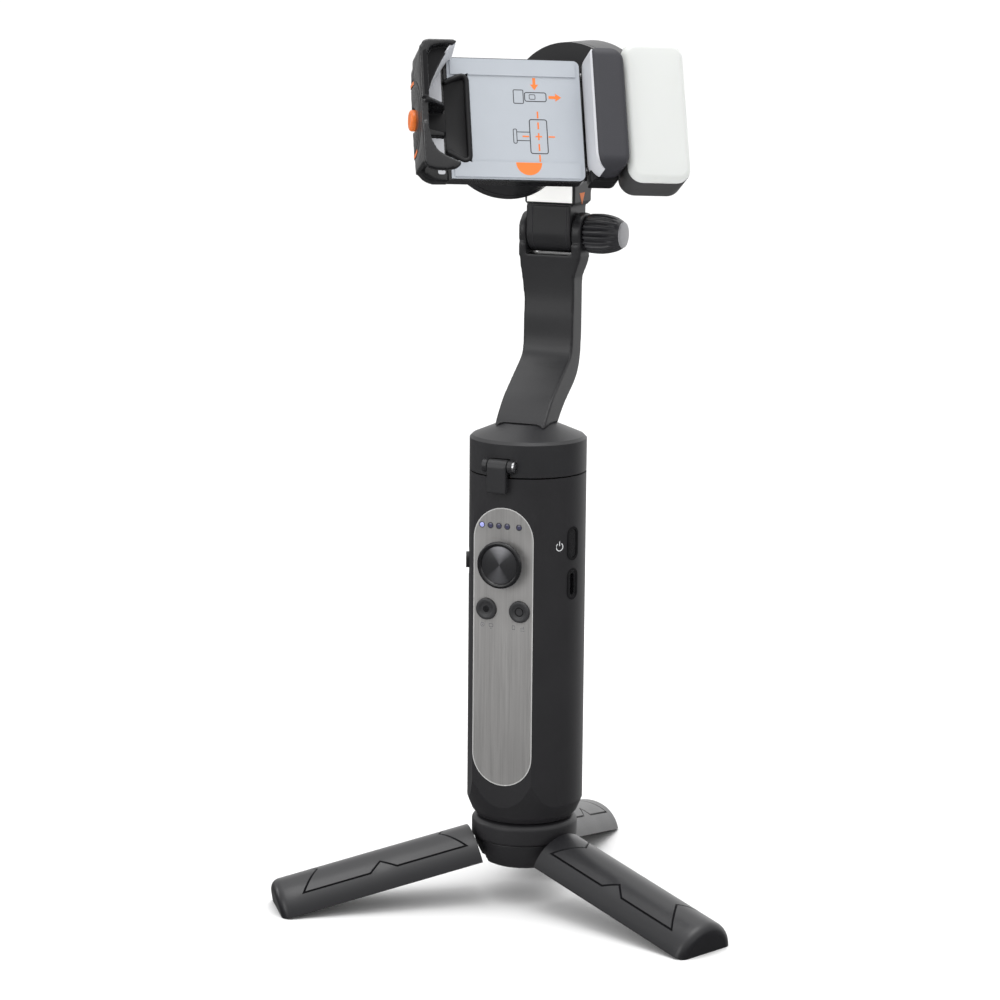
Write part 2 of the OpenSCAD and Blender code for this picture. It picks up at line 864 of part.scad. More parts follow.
module leg_part(i) {
    difference() {
        on_leg(i)
            difference() {
                union() {
                    intersection() {
                        translate([leg_start, 0, 0])
                            rotate([90, 0, 90])
                                linear_extrude(leg_reach - leg_start)
                                    leg_section();
                        over_width(2 * leg_w) leg_side();
                    }
                    over_width(tongue_w) {
                        translate([0, pivot_h]) circle(tongue_r, $fn = small_fn);
                        square([tongue_s1, pivot_h + tongue_r]);
                    }
                }
                translate([0, 0, pivot_h]) bar_y(leg_pin_r + fit, -leg_w, leg_w);
                translate([pad_s0, -pad_w / 2, -over])
                    cube([pad_s1 - pad_s0, pad_w, over + pad_recess]);
            }
        box(-2 * leg_reach, 2 * leg_reach, -2 * leg_reach, 2 * leg_reach, -leg_w, 0);
    }
}

module pad_part(i) {
    difference() {
        on_leg(i)
            translate([pad_s0 + touch, -pad_w / 2 + touch, -pad_t])
                cube([pad_s1 - pad_s0 - 2 * touch, pad_w - 2 * touch, pad_t + pad_recess - touch]);
        box(-2 * leg_reach, 2 * leg_reach, -2 * leg_reach, 2 * leg_reach, -leg_w, 0);
    }
}

module leg_1() color("#2c2c30") leg_part(0);

module leg_2() color("#2c2c30") leg_part(1);

module leg_3() color("#2c2c30") leg_part(2);

module foot_pad_1() color("#151516") pad_part(0);

module foot_pad_2() color("#151516") pad_part(1);

module foot_pad_3() color("#151516") pad_part(2);

// Outline of the pan housing, with a shallow cone on top
module pan_outline(grow) {
    polygon([
        [0, pan_z0], [handle_r, pan_z0], [handle_r, pan_rim_z - edge], [handle_r - edge, pan_rim_z + grow],
        [pan_dome_r, pan_rim_z + pan_dome + grow], [0, pan_rim_z + pan_dome + grow]
    ]);
}

module catch_lugs() {
    translate([0, -catch_y, catch_z])
        for (side = [-1, 1]) {
            translate([catch_x + side * (catch_w / 2 + gap + lug_t / 2), 0, 0]) {
                bar_x(lug_r, -lug_t / 2, lug_t / 2);
                box(-lug_t / 2, lug_t / 2, 0, lug_r, -lug_r, lug_r);
            }
        }
}

module pan_housing() color("#2f2f32") {
    difference() {
        union() {
            rotate_extrude($fn = round_fn) pan_outline(0);
            catch_lugs();
        }
        bar_z(pan_in, pan_z0 - over, pan_ceiling);
        translate([catch_x, -catch_y, catch_z]) {
            bar_x(catch_r + gap, -catch_w / 2 - gap, catch_w / 2 + gap);
            box(-catch_w / 2 - gap, catch_w / 2 + gap, -handle_r, catch_r, -handle_r, 0);
        }
        translate([0, -catch_y, catch_z]) bar_x(catch_pin_r, -handle_r, handle_r);
        translate([catch_x + catch_w / 2 + gap + lug_t, -catch_y, catch_z])
            bar_x(catch_head_r + fit, 0, catch_head_t + 2 * fit);
    }
}

module pan_rotor() color("#8b8d91") {
    difference() {
        bar_z(pan_in - touch, stator_z0, pan_ceiling - touch);
        bar_z(magnet_ri, stator_z0 - over, stator_z1 + gap);
    }
    bar_z(shaft_r, deck_z0 - edge, stator_z1 + over);
}

module catch_pin() color("silver") {
    translate([catch_x, -catch_y, catch_z]) {
        bar_x(catch_pin_r - touch, -catch_w / 2 - gap - lug_t, catch_w / 2 + gap + lug_t + touch);
        translate([catch_w / 2 + gap + lug_t + touch, 0, 0]) bar_x(catch_head_r, 0, catch_head_t);
    }
}

module lock_catch() color("#1e1e20") {
    translate([catch_x, 0, 0])
        difference() {
            union() {
                translate([0, -catch_y, catch_z]) bar_x(catch_r, -catch_w / 2, catch_w / 2);
                box(-catch_w / 2, catch_w / 2, -catch_front, -catch_front + catch_plate, catch_z0, catch_z);
                box(-catch_w / 2, catch_w / 2, -catch_front, -handle_r - catch_clear,
                    catch_z0, catch_z0 + catch_plate);
            }
            translate([0, -catch_y, catch_z]) bar_x(catch_pin_r + fit, -catch_w, catch_w);
        }
}

// Side profile of the curved arm
function arm_point(s) = [
    root_y + s[0] * (fold_y - root_y),
    root_z + s[1] * (fold_z - root_z)
];

module arm_profile() {
    polygon(concat(
        curve([for (s = front_shares) arm_point(s)]),
        [arm_point(front_shares[len(front_shares) - 1])],
        curve([for (s = rear_shares) arm_point(s)]),
        [arm_point(rear_shares[len(rear_shares) - 1])]
    ));
}

module lower_arm() color("#333336") {
    left = -ear_in - ear_left;
    right = ear_in + ear_right;
    difference() {
        union() {
            intersection() {
                across(left, right) arm_profile();
                through(-2 * handle_r, 2 * handle_r)
                    polygon([
                        [-arm_hw, pan_rim_z - over], [arm_hw, pan_rim_z - over], [arm_hw, flare_right_z],
                        [right, flare_right_top], [right, fold_z], [left, fold_z],
                        [left, flare_left_top], [-arm_hw, flare_left_z]
                    ]);
            }
            translate([0, fold_y, fold_z]) bar_x(knuckle_r, left, right);
        }
        rotate_extrude($fn = round_fn) pan_outline(touch);
        box(-ear_in, ear_in, 0, 2 * fold_y, fold_z - floor_drop, fold_z + 2 * knuckle_r);
        translate([0, fold_y, fold_z]) bar_x(bolt_r + touch, left - over, right + over);
    }
}

module fold_bolt() color("silver") {
    left = -ear_in - ear_left;
    translate([0, fold_y, fold_z]) {
        bar_x(bolt_r, left - bolt_head_t, knob_x1 - 2 * edge);
        bar_x(bolt_head_r, left - bolt_head_t, left - touch);
    }
}

// Fluted knob that clamps the fold joint
module fold_knob() color("#1c1c1e") {
    translate([knob_x0, fold_y, fold_z])
        rotate([0, 90, 0])
            difference() {
                rotate_extrude($fn = round_fn)
                    polygon([
                        [bolt_r + fit, 0], [knob_r - knob_groove, 0], [knob_r, edge],
                        [knob_r, knob_l / 2], [knob_r - knob_groove, knob_l * 4 / 5],
                        [knob_r - 3 * knob_groove, knob_l - knob_groove],
                        [knob_r - 4 * knob_groove, knob_l], [bolt_r + fit, knob_l]
                    ]);
                for (i = [0 : knob_ribs - 1]) {
                    rotate([0, 0, i * 360 / knob_ribs])
                        translate([knob_r + knob_groove / 2, 0, edge])
                            cylinder(r = knob_groove, h = knob_l, $fn = hull_fn / 2);
                }
            }
}

module knob_cap() color("#8c8c8e") {
    translate([knob_x1 + touch, fold_y, fold_z]) bar_x(knob_cap_r, 0, knob_cap_t);
}

// Upper arm: the tongue of the fold joint, a short bar and the saddle under the motor
module upper_arm() color("#343437") {
    difference() {
        union() {
            translate([0, fold_y, fold_z]) bar_x(knuckle_r, -tongue_hw, tongue_hw);
            box(-tongue_hw, tongue_hw, fold_y - knuckle_r, fold_y + knuckle_r, fold_z, ledge_z);
            intersection() {
                across(-arm_hw, arm_hw)
                    polygon([
                        [upper_y0, shoulder_z], [upper_y0, upper_top], [saddle_y0 - edge, upper_top],
                        [saddle_y0, saddle_z], [saddle_y1, saddle_z], [saddle_y1, saddle_low],
                        [saddle_mid_y, saddle_mid_z], [upper_y1, shoulder_z + edge],
                        [upper_y1, shoulder_z]
                    ]);
                through(0, 2 * tilt_y1)
                    polygon([
                        [-arm_hw + chamfer, shoulder_z], [arm_hw - chamfer, shoulder_z],
                        [arm_hw, shoulder_z + chamfer], [arm_hw, tilt_z],
                        [-arm_hw, tilt_z], [-arm_hw, shoulder_z + chamfer]
                    ]);
            }
        }
        translate([0, fold_y, fold_z]) bar_x(bolt_r + fit, -arm_w, arm_w);
        translate([0, 0, tilt_z]) bar_y(tilt_r + touch, saddle_y0 - 2 * edge, 2 * tilt_y1);
    }
}

module arm_label() color("#f2f2ee") {
    box(-arm_hw + label_margin, arm_hw - label_margin, upper_y0 - label_t, upper_y0 - touch,
        ledge_z + label_margin, upper_top - label_margin);
}

// Housing of a motor, open towards its rotor, drawn along its axis from its mouth
module motor_cup(r, l, wall, post_l, round) {
    difference() {
        rotate_extrude($fn = round_fn)
            polygon([
                [0, 0], [r, 0], [r, l - round], [r - round / 4, l - round / 3], [r - round, l], [0, l]
            ]);
        translate([0, 0, -over]) cylinder(r = r - wall, h = l - wall + over, $fn = round_fn);
    }
    difference() {
        translate([0, 0, l - wall - post_l]) cylinder(r = post_r, h = post_l + over, $fn = small_fn);
        translate([0, 0, l - wall - post_l - over])
            cylinder(r = bearing_ro + touch, h = post_l + over, $fn = small_fn);
    }
}

module tilt_housing() color("#2d2d30") {
    translate([0, tilt_open, tilt_z])
        rotate([-90, 0, 0])
            motor_cup(tilt_r, tilt_y1 - tilt_open, tilt_wall, tilt_y1 - tilt_wall - tilt_stator_y0,
                tilt_round);
}

module tilt_stator() color("#b87333") {
    translate([0, 0, tilt_z])
        difference() {
            bar_y(stator_ro, tilt_stator_y0, tilt_stator_y1);
            bar_y(post_r + touch, tilt_stator_y0 - over, tilt_stator_y1 + over);
        }
}

module tilt_bearing() color("silver") {
    translate([0, 0, tilt_z])
        difference() {
            bar_y(bearing_ro, tilt_stator_y0, tilt_stator_y0 + deck_t);
            bar_y(shaft_r + fit, 0, 2 * tilt_y1);
        }
}

module tilt_rotor() color("#35353a") {
    translate([0, 0, tilt_z]) {
        bar_y(tilt_r, tilt_y0, tilt_y0 + rotor_t);
        bar_y(shaft_r, tilt_y0 + rotor_t, tilt_stator_y1);
        difference() {
            bar_y(magnet_ri + magnet_t, tilt_y0 + rotor_t, tilt_stator_y1);
            bar_y(magnet_ri, tilt_y0 + rotor_t, tilt_stator_y1 + over);
        }
    }
}

// Elbow between the two motors: its two faces stand at an angle to each other
module swing_arm() color("#2e2e31") {
    hull() {
        translate([0, swing_front_y, tilt_z])
            rotate([-90, 0, 0])
                cylinder(r = swing_front_r, h = swing_t - touch, $fn = hull_fn);
        in_clamp()
            translate([0, 0, -roll_back - swing_t])
                cylinder(r = swing_r, h = swing_t - touch, $fn = hull_fn);
    }
}

module roll_housing() color("#2d2d30") {
    in_clamp()
        translate([0, 0, -roll_seam - tilt_seam])
            rotate([180, 0, 0])
                motor_cup(roll_r, roll_back - roll_seam - tilt_seam, roll_wall,
                    roll_back - roll_wall - frame_back - 2 * roll_wall, roll_round);
}

module roll_stator() color("#b87333") {
    in_clamp()
        difference() {
            layer(-roll_seam, -frame_back - 2 * roll_wall) circle(stator_ro, $fn = round_fn);
            layer(-roll_back, 0) circle(post_r + touch, $fn = small_fn);
        }
}

module roll_bearing() color("silver") {
    in_clamp()
        difference() {
            layer(-roll_seam, -roll_seam + deck_t) circle(bearing_ro, $fn = small_fn);
            layer(-roll_back, 0) circle(shaft_r + fit, $fn = small_fn);
        }
}

module roll_rotor() color("#35353a") {
    in_clamp() {
        difference() {
            layer(-roll_seam, -frame_back - touch) circle(roll_r, $fn = round_fn);
            layer(-roll_seam - over, -frame_back - roll_wall) circle(magnet_ri, $fn = round_fn);
        }
        layer(-roll_seam - edge, -frame_back - edge) circle(shaft_r, $fn = small_fn);
    }
}

// Outline and depth of the hollow pad beside the fixed jaw
module cradle_form(deep) {
    layer(-deep, over)
        polygon([
            [-cradle_u0 - over, -cradle_hv0], [-cradle_u0, -cradle_hv0], [-cradle_u1, -cradle_hv1],
            [-cradle_u1, cradle_hv1], [-cradle_u0, cradle_hv0], [-cradle_u0 - over, cradle_hv0]
        ]);
}

// A plate that is square at its left end and rounded at its right one
module square_end(u0, u1, v0, v1, r) {
    round_rect(u0, u1, v0, v1, r);
    translate([u0, v0]) square([2 * r, v1 - v0]);
}

module clamp_frame() color("#1d1d1f") {
    in_clamp()
        difference() {
            layer(-frame_back, -plate_t)
                square_end(-frame_u0, frame_u1, -frame_hv, frame_hv, frame_round);
            for (side = [-1, 1]) {
                translate([0, side * rod_v, -rod_depth])
                    bar_x(rod_r + fit, -rod_u0 - edge, frame_u1 + over);
            }
            cradle_form(cradle_deep + touch);
        }
}

module phone_plate() color("#c9c9cc") {
    in_clamp()
        difference() {
            union() {
                layer(-plate_t + touch, 0)
                    square_end(-frame_u0 + edge, frame_u1 - edge / 2, -frame_hv + edge / 2,
                        frame_hv - edge / 2, frame_round - edge);
                for (v = [band_v, edge - frame_hv]) {
                    layer(-plate_t / 2, band_t)
                        translate([2 * edge - frame_u0, v])
                            square([frame_u0 + frame_u1 - 4 * edge, frame_hv - edge - band_v]);
                }
            }
            cradle_form(cradle_deep + over);
        }
}

module jaw_cradle() color("#262628") {
    in_clamp()
        difference() {
            layer(-cradle_deep, 0)
                polygon([
                    [-frame_u0 + touch, -cradle_hv0], [-cradle_u1 - fit, -cradle_hv1 + fit],
                    [-cradle_u1 - fit, cradle_hv1 - fit], [-frame_u0 + touch, cradle_hv0]
                ]);
            for (side = [-1, 1]) {
                translate([0, side * rod_v, -rod_depth])
                    bar_x(rod_r + 2 * fit, -frame_u0 - over, over);
            }
            translate([-frame_u0, 0, cradle_dish_r - cradle_deep + edge])
                rotate([90, 0, 0])
                    translate([0, 0, -frame_hv])
                        cylinder(r = cradle_dish_r, h = 2 * frame_hv, $fn = round_fn);
        }
}

// Points of the fixed jaw's outlines, given as shares of its reach and half height
function jaw_points(shares) = [for (q = shares) [-jaw_u0 + q[0] * lip_reach, q[1] * jaw_hv]];

// The fixed jaw's floor and its outer wall, whose back is bowed
module jaw_floor_form() {
    layer(-frame_back, -plate_t)
        difference() {
            round_rect(-jaw_u0, -frame_u0 + floor_round, base_v0, claw_v1 - edge, floor_round);
            translate([-frame_u0 - touch, -2 * jaw_hv]) square([2 * floor_round, 4 * jaw_hv]);
        }
}

module jaw_wall_form() {
    translate([-jaw_u0, 0, 0])
        rotate([90, 0, 90])
            linear_extrude(wall_t)
                polygon(concat(
                    [for (q = wall_back) [q[0] * jaw_hv, -frame_back + q[1] * jaw_n]],
                    [[claw_v1 - 2 * edge, jaw_n - edge], [claw_v0 + 3 * edge, jaw_n - edge]]
                ));
}

// A thin rib from the wall to the frame that slopes down to the right
module jaw_rib_form() {
    translate([0, rib_v1, 0])
        rotate([90, 0, 0])
            linear_extrude(rib_v1 - rib_v0)
                polygon([
                    [-jaw_u0 + edge, -frame_back + edge], [-jaw_u0 + edge, jaw_n - gap],
                    [-jaw_u0 + wall_t + edge, jaw_n - gap], [-frame_u0 - 2 * edge, jaw_n - rib_deep],
                    [-frame_u0 - edge, rib_end], [-frame_u0 - edge, -frame_back + edge]
                ]);
}

module fixed_jaw() color("#202022") {
    in_clamp()
        difference() {
            union() {
                jaw_floor_form();
                jaw_wall_form();
                jaw_rib_form();
                layer(jaw_n - lip_t, jaw_n) polygon(jaw_points(lower_claw));
                layer(band_t + gap, jaw_n) polygon(jaw_points(upper_claw));
                layer(-plate_t - edge, jaw_n - lip_t)
                    intersection() {
                        polygon(jaw_points(upper_claw));
                        translate([-jaw_u0, 0]) square([jaw_u0 - frame_u0 - touch, claw_v1 - 2 * edge]);
                    }
                layer(-frame_back + edge, neck_n)
                    translate([-jaw_u0 + edge, neck_v0])
                        square([jaw_u0 - edge - cradle_u0 - gap, neck_v1 - neck_v0]);
                intersection() {
                    translate([-jaw_u0, 0, accent_n])
                        rotate([0, 90, 0])
                            cylinder(r = boss_r, h = wall_t, $fn = round_fn);
                    layer(-boss_back, jaw_n - edge) square(4 * jaw_hv, center = true);
                }
            }
            layer(jaw_n - recess_t, jaw_n + over) polygon(jaw_points(recess));
            translate([-jaw_u0 - over, 0, accent_n])
                rotate([0, 90, 0])
                    cylinder(r = release_r + 2 * fit, h = release_deep + over, $fn = small_fn);
            translate([-jaw_u0 - over, 0, accent_n])
                rotate([0, 90, 0])
                    difference() {
                        cylinder(r = accent_r + fit, h = accent_t + over, $fn = round_fn);
                        translate([0, 0, -over])
                            cylinder(r = accent_ri - fit, h = 3 * over + accent_t, $fn = round_fn);
                    }
        }
}

module accent_ring() color("#e8690f") {
    in_clamp()
        intersection() {
            translate([-jaw_u0, 0, accent_n])
                rotate([0, 90, 0])
                    difference() {
                        cylinder(r = accent_r, h = accent_t - touch, $fn = round_fn);
                        translate([0, 0, -over])
                            cylinder(r = accent_ri, h = 2 * over + accent_t, $fn = round_fn);
                    }
            layer(gap - boss_back, jaw_n) square(4 * jaw_hv, center = true);
        }
}

module release_button() color("#3a3a3d") {
    in_clamp()
        translate([-jaw_u0 - release_out, 0, accent_n])
            rotate([0, 90, 0])
                cylinder(r = release_r, h = release_out + release_deep - edge, $fn = small_fn);
}

// Moving jaw with a channel that holds the phone's edge
module moving_jaw() color("#37373a") {
    in_clamp()
        difference() {
            translate([jaw_u1, 0, 0])
                rotate([90, 0, 90])
                    linear_extrude(jaw_w)
                        round_rect(pad_v0, jaw_hv, -frame_back, jaw_n, jaw_round);
            translate([jaw_u1 - over, pad_v0 + liner_end - touch, -touch])
                cube([channel_deep + over, jaw_hv - pad_v0 - 2 * (liner_end - touch), channel_n + touch]);
            for (side = [-1, 1]) {
                translate([0, side * rod_v, -rod_depth])
                    bar_x(rod_r + touch, jaw_u1 - over, jaw_u1 + rod_into_jaw);
            }
        }
}

module jaw_liner() color("#c4c4c6") {
    in_clamp()
        translate([jaw_u1 + channel_deep - liner_t, pad_v0 + liner_end, 0])
            cube([liner_t - touch, jaw_hv - pad_v0 - 2 * liner_end, channel_n - touch]);
}

module guide_rods() color("silver") {
    in_clamp()
        for (side = [-1, 1]) {
            translate([0, side * rod_v, -rod_depth]) bar_x(rod_r, -rod_u0, jaw_u1 + rod_into_jaw);
        }
}

module lamp_case() color("#1b1b1d") {
    in_clamp()
        difference() {
            layer(lamp_n1 - lamp_t, lamp_n1)
                round_rect(lamp_u0, lamp_u0 + lamp_w, lamp_v0, lamp_v1, lamp_round);
            layer(lamp_n1 - diffuser_in, lamp_n1 + over)
                round_rect(lamp_u0 + lamp_rim, lamp_u0 + lamp_w - lamp_rim, lamp_v0 + lamp_rim,
                    lamp_v1 - lamp_rim, lamp_round - lamp_rim);
        }
}

module diffuser_slice(inset, n0, n1) {
    layer(n0, n1)
        round_rect(lamp_u0 + inset, lamp_u0 + lamp_w - inset, lamp_v0 + inset, lamp_v1 - inset,
            lamp_round - lamp_rim);
}

module lamp_diffuser() color("#f4f4f0") {
    top = lamp_n1 + diffuser_t;
    in_clamp() {
        diffuser_slice(lamp_rim + touch, lamp_n1 - diffuser_in + touch, lamp_n1 + edge);
        diffuser_slice(lens_rim, lamp_n1 + touch, top - diffuser_edge);
        hull() {
            diffuser_slice(lens_rim, top - diffuser_edge - touch, top - diffuser_edge);
            diffuser_slice(lens_rim + edge, top - edge - touch, top - edge);
            diffuser_slice(lens_rim + diffuser_edge, top - touch, top);
        }
    }
}

handle_front_shell();
handle_rear_shell();
shell_screws();
control_panel();
led_lenses();
joystick_base();
usb_socket();
battery_cell();
main_board();
pan_deck();
pan_stator();
pan_bearing();
base_plug();
tripod_screw();
tripod_ring();
tripod_hub();
leg_pins();
record_button();
mode_button();
power_button();
zoom_slider();
joystick_cradle();
joystick_stem();
joystick_cap();
leg_1();
leg_2();
leg_3();
foot_pad_1();
foot_pad_2();
foot_pad_3();
pan_housing();
pan_rotor();
lower_arm();
catch_pin();
fold_bolt();
lock_catch();
fold_knob();
knob_cap();
upper_arm();
arm_label();
tilt_housing();
tilt_stator();
tilt_bearing();
tilt_rotor();
swing_arm();
roll_housing();
roll_stator();
roll_bearing();
roll_rotor();
clamp_frame();
phone_plate();
fixed_jaw();
jaw_cradle();
accent_ring();
release_button();
moving_jaw();
jaw_liner();
guide_rods();
lamp_case();
lamp_diffuser();
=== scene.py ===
"""Looks of the folding smartphone stabiliser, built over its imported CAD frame."""

import json
import logging
import math
from abc import ABC, abstractmethod
from collections.abc import Callable, Sequence
from dataclasses import dataclass, field
from enum import Enum
from functools import cache

import bmesh
import bpy
from mathutils import Matrix, Vector
from mathutils.geometry import delaunay_2d_cdt

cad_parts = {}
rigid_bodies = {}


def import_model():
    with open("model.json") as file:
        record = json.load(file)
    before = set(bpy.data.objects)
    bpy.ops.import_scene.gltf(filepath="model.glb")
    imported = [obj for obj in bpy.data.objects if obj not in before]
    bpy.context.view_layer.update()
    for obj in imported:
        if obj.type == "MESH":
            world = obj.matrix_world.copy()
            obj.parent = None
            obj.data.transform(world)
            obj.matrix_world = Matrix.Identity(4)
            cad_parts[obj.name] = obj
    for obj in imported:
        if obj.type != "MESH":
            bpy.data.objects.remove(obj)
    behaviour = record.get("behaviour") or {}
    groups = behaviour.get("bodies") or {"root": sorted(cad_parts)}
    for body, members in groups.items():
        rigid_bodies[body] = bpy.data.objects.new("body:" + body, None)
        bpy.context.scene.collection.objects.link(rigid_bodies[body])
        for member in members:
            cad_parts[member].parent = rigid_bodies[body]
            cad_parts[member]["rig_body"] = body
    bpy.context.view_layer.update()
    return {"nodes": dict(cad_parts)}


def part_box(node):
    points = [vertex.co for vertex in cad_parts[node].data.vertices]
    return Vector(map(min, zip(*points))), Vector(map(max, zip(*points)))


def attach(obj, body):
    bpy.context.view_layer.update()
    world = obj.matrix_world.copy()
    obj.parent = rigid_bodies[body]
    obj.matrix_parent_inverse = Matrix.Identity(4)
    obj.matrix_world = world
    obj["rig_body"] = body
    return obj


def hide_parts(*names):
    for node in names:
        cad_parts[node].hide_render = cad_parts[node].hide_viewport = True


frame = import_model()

LOG = logging.getLogger("stabiliser")
MM = 0.001
SHARP, CRISP, SOFT = 38.0, 50.0, 60.0  # degrees: an edge that bends more stays sharp
UNDER_HALF = 2.02  # a rounded corner takes a side's length divided by this at most
LEAST_MITRE = 0.35
CROWN_RINGS = 5
MERGE = 1e-4
CAD_MERGE = 2e-6
GRIP_INSIDE_R = 15.0
FACES_OUT = 0.75
EVEN = (1.0, 1.0, 1.0)
DIRECTION_OUTPUT, OBJECT_OUTPUT = 0, 3  # of the texture coordinate node
Flat = tuple[float, float]
Colour = tuple[float, float, float]
Values = dict[str | int, object]
Pieces = list[bpy.types.Object]


class Axis(Enum):
    """A direction that a brushed or wound surface follows."""

    X = 0
    Y = 1
    Z = 2


class Light(Enum):
    """The studio's lights: place and aim in metres, size, power in watts."""

    KEY = ((-0.62, -1.42, 0.6), (0.0, 0.0, 0.16), 0.8, 4.0)
    SIDE = ((-1.45, -0.1, 0.5), (0.0, 0.0, 0.2), 0.5, 1.9)
    FILL = ((1.35, -0.35, 0.55), (0.0, 0.0, 0.16), 0.6, 0.5)
    TOP = ((0.1, -0.1, 1.5), (0.0, 0.0, 0.16), 0.9, 7.0)


def place(origin: Sequence[float], x: Sequence[float], y: Sequence[float], z: Sequence[float]) -> Matrix:
    """Makes the matrix of a seat whose three axes are given.

    Args:
        origin: the seat's origin in millimetres.
        x: its first axis.
        y: its second axis.
        z: its third axis.

    Returns:
        The matrix from the seat to the row frame, in millimetres.
    """
    rows = [[x[i], y[i], z[i], origin[i]] for i in range(3)]
    return Matrix([*rows, [0.0, 0.0, 0.0, 1.0]])


CLAMP = place(
    (0.0, -12.0, 270.2),
    (0.805344, 0.592036, -0.030242),
    (-0.220689, 0.346768, 0.911619),
    (0.550198, -0.727492, 0.409923),
)


def facing(degrees: float, radius: float, height: float) -> Matrix:
    """Makes a seat on the handle that faces outwards.

    Args:
        degrees: angle from the front towards the knob's side.
        radius: distance of the seat from the pan axis.
        height: height of the seat above the floor.

    Returns:
        A seat with its third axis pointing outwards and its second axis up.
    """
    a = math.radians(degrees)
    out = (math.sin(a), -math.cos(a), 0.0)
    return place((out[0] * radius, out[1] * radius, height), (-out[1], out[0], 0.0), (0.0, 0.0, 1.0), out)


def front_seat(x: float, z: float, y: float = 0.0) -> Matrix:
    """Makes a seat that faces the front, with its second axis up."""
    return place((x, y, z), (1, 0, 0), (0, 0, 1), (0, -1, 0))


def side_seat(x: float = 0.0, y: float = 0.0, z: float = 0.0) -> Matrix:
    """Makes a seat that faces the knob's side, with its second axis up."""
    return place((x, y, z), (0, 1, 0), (0, 0, 1), (1, 0, 0))


def turn_point(p: Flat, centre: Flat, degrees: float) -> Flat:
    """Turns a point about a centre.

    Args:
        p: the point.
        centre: the centre.
        degrees: the angle, counter-clockwise.

    Returns:
        The turned point.
    """
    a = math.radians(degrees)
    x, y = p[0] - centre[0], p[1] - centre[1]
    return centre[0] + x * math.cos(a) - y * math.sin(a), centre[1] + x * math.sin(a) + y * math.cos(a)


def circle(centre: Flat, radius: float, steps: int = 32) -> list[Flat]:
    """Lists points of a circle.

    Args:
        centre: its centre.
        radius: its radius.
        steps: how many points.

    Returns:
        The points, counter-clockwise.
    """
    return [turn_point((centre[0] + radius, centre[1]), centre, 360 * i / steps) for i in range(steps)]


def rounded(corners: Sequence[tuple[float, float, float]], steps: int = 6) -> list[Flat]:
    """Rounds each corner of a polygon.

    Args:
        corners: x, y and the corner's radius, counter-clockwise.
        steps: faces in each corner.

    Returns:
        The rounded outline.
    """
    loop: list[Flat] = []
    for i, (x, y, r) in enumerate(corners):
        p = Vector((x, y))
        a = Vector(corners[i - 1][:2]) - p
        b = Vector(corners[(i + 1) % len(corners)][:2]) - p
        if r <= 0:
            loop.append((x, y))
            continue
        half = a.angle(b) / 2
        cut = min(r / math.tan(half), a.length / UNDER_HALF, b.length / UNDER_HALF)
        middle = p + (a.normalized() + b.normalized()).normalized() * (cut / math.cos(half))
        s = p + a.normalized() * cut - middle
        e = p + b.normalized() * cut - middle
        a0 = math.atan2(s.y, s.x)
        sweep = (math.atan2(e.y, e.x) - a0 + math.pi) % (2 * math.pi) - math.pi
        for k in range(steps + 1):
            t = a0 + sweep * k / steps
            loop.append((middle.x + s.length * math.cos(t), middle.y + s.length * math.sin(t)))
    return loop


def block(x0: float, x1: float, y0: float, y1: float, r: float, steps: int = 6) -> list[Flat]:
    """Outlines a rectangle with rounded corners.

    Args:
        x0: its left side.
        x1: its right side.
        y0: its lower side.
        y1: its upper side.
        r: its corner radius.
        steps: faces in each corner.

    Returns:
        The outline, counter-clockwise.
    """
    return rounded([(x0, y0, r), (x1, y0, r), (x1, y1, r), (x0, y1, r)], steps)


def inset(loop: Sequence[Flat], depth: float) -> list[Flat]:
    """Moves an outline inwards.

    Args:
        loop: the outline, counter-clockwise.
        depth: how far it moves.

    Returns:
        The smaller outline with as many points.
    """
    out: list[Flat] = []
    for i, (x, y) in enumerate(loop):
        p = Vector((x, y))
        e1 = (p - Vector(loop[i - 1])).normalized()
        e2 = (Vector(loop[(i + 1) % len(loop)]) - p).normalized()
        n1, n2 = Vector((-e1.y, e1.x)), Vector((-e2.y, e2.x))
        middle = (n1 + n2).normalized()
        q = p + middle * (depth / max(LEAST_MITRE, middle.dot(n1)))
        out.append((q.x, q.y))
    return out


def flowing(points: Sequence[Flat], steps: int = 5) -> list[Flat]:
    """Draws a smooth open line through points.

    Args:
        points: the points.
        steps: how many parts each stretch gets.

    Returns:
        The line's points.
    """
    p = [Vector(points[0]), *(Vector(q) for q in points), Vector(points[-1])]
    out = []
    for i in range(1, len(p) - 2):
        for k in range(steps):
            t = k / steps
            a, b, c, d = p[i - 1], p[i], p[i + 1], p[i + 2]
            q = b + (c - a) * (t / 2)
            q += (a - 2.5 * b + 2 * c - d / 2) * t**2
            q += (1.5 * b - a / 2 - 1.5 * c + d / 2) * t**3
            out.append((q.x, q.y))
    return [*out, tuple(points[-1])]


def bar(a: Flat, b: Flat, width: float) -> list[Flat]:
    """Outlines a straight stroke.

    Args:
        a: its start.
        b: its end.
        width: its width.

    Returns:
        The four corners.
    """
    d = (Vector(b) - Vector(a)).normalized() * (width / 2)
    side = Vector((-d.y, d.x))
    points = [Vector(a) - side, Vector(b) - side, Vector(b) + side, Vector(a) + side]
    return [(p.x, p.y) for p in points]


def arc_band(inner: float, outer: float, start: float, stop: float, steps: int = 48) -> list[Flat]:
    """Outlines a part of a flat ring about the seat's origin.

    Args:
        inner: its inner radius.
        outer: its outer radius.
        start: angle where it starts.
        stop: angle where it ends.
        steps: faces along each arc.

    Returns:
        The outline.
    """
    turns = [start + (stop - start) * k / steps for k in range(steps + 1)]
    far = [turn_point((outer, 0), (0, 0), t) for t in turns]
    near = [turn_point((inner, 0), (0, 0), t) for t in turns[::-1]]
    return [*far, *near]


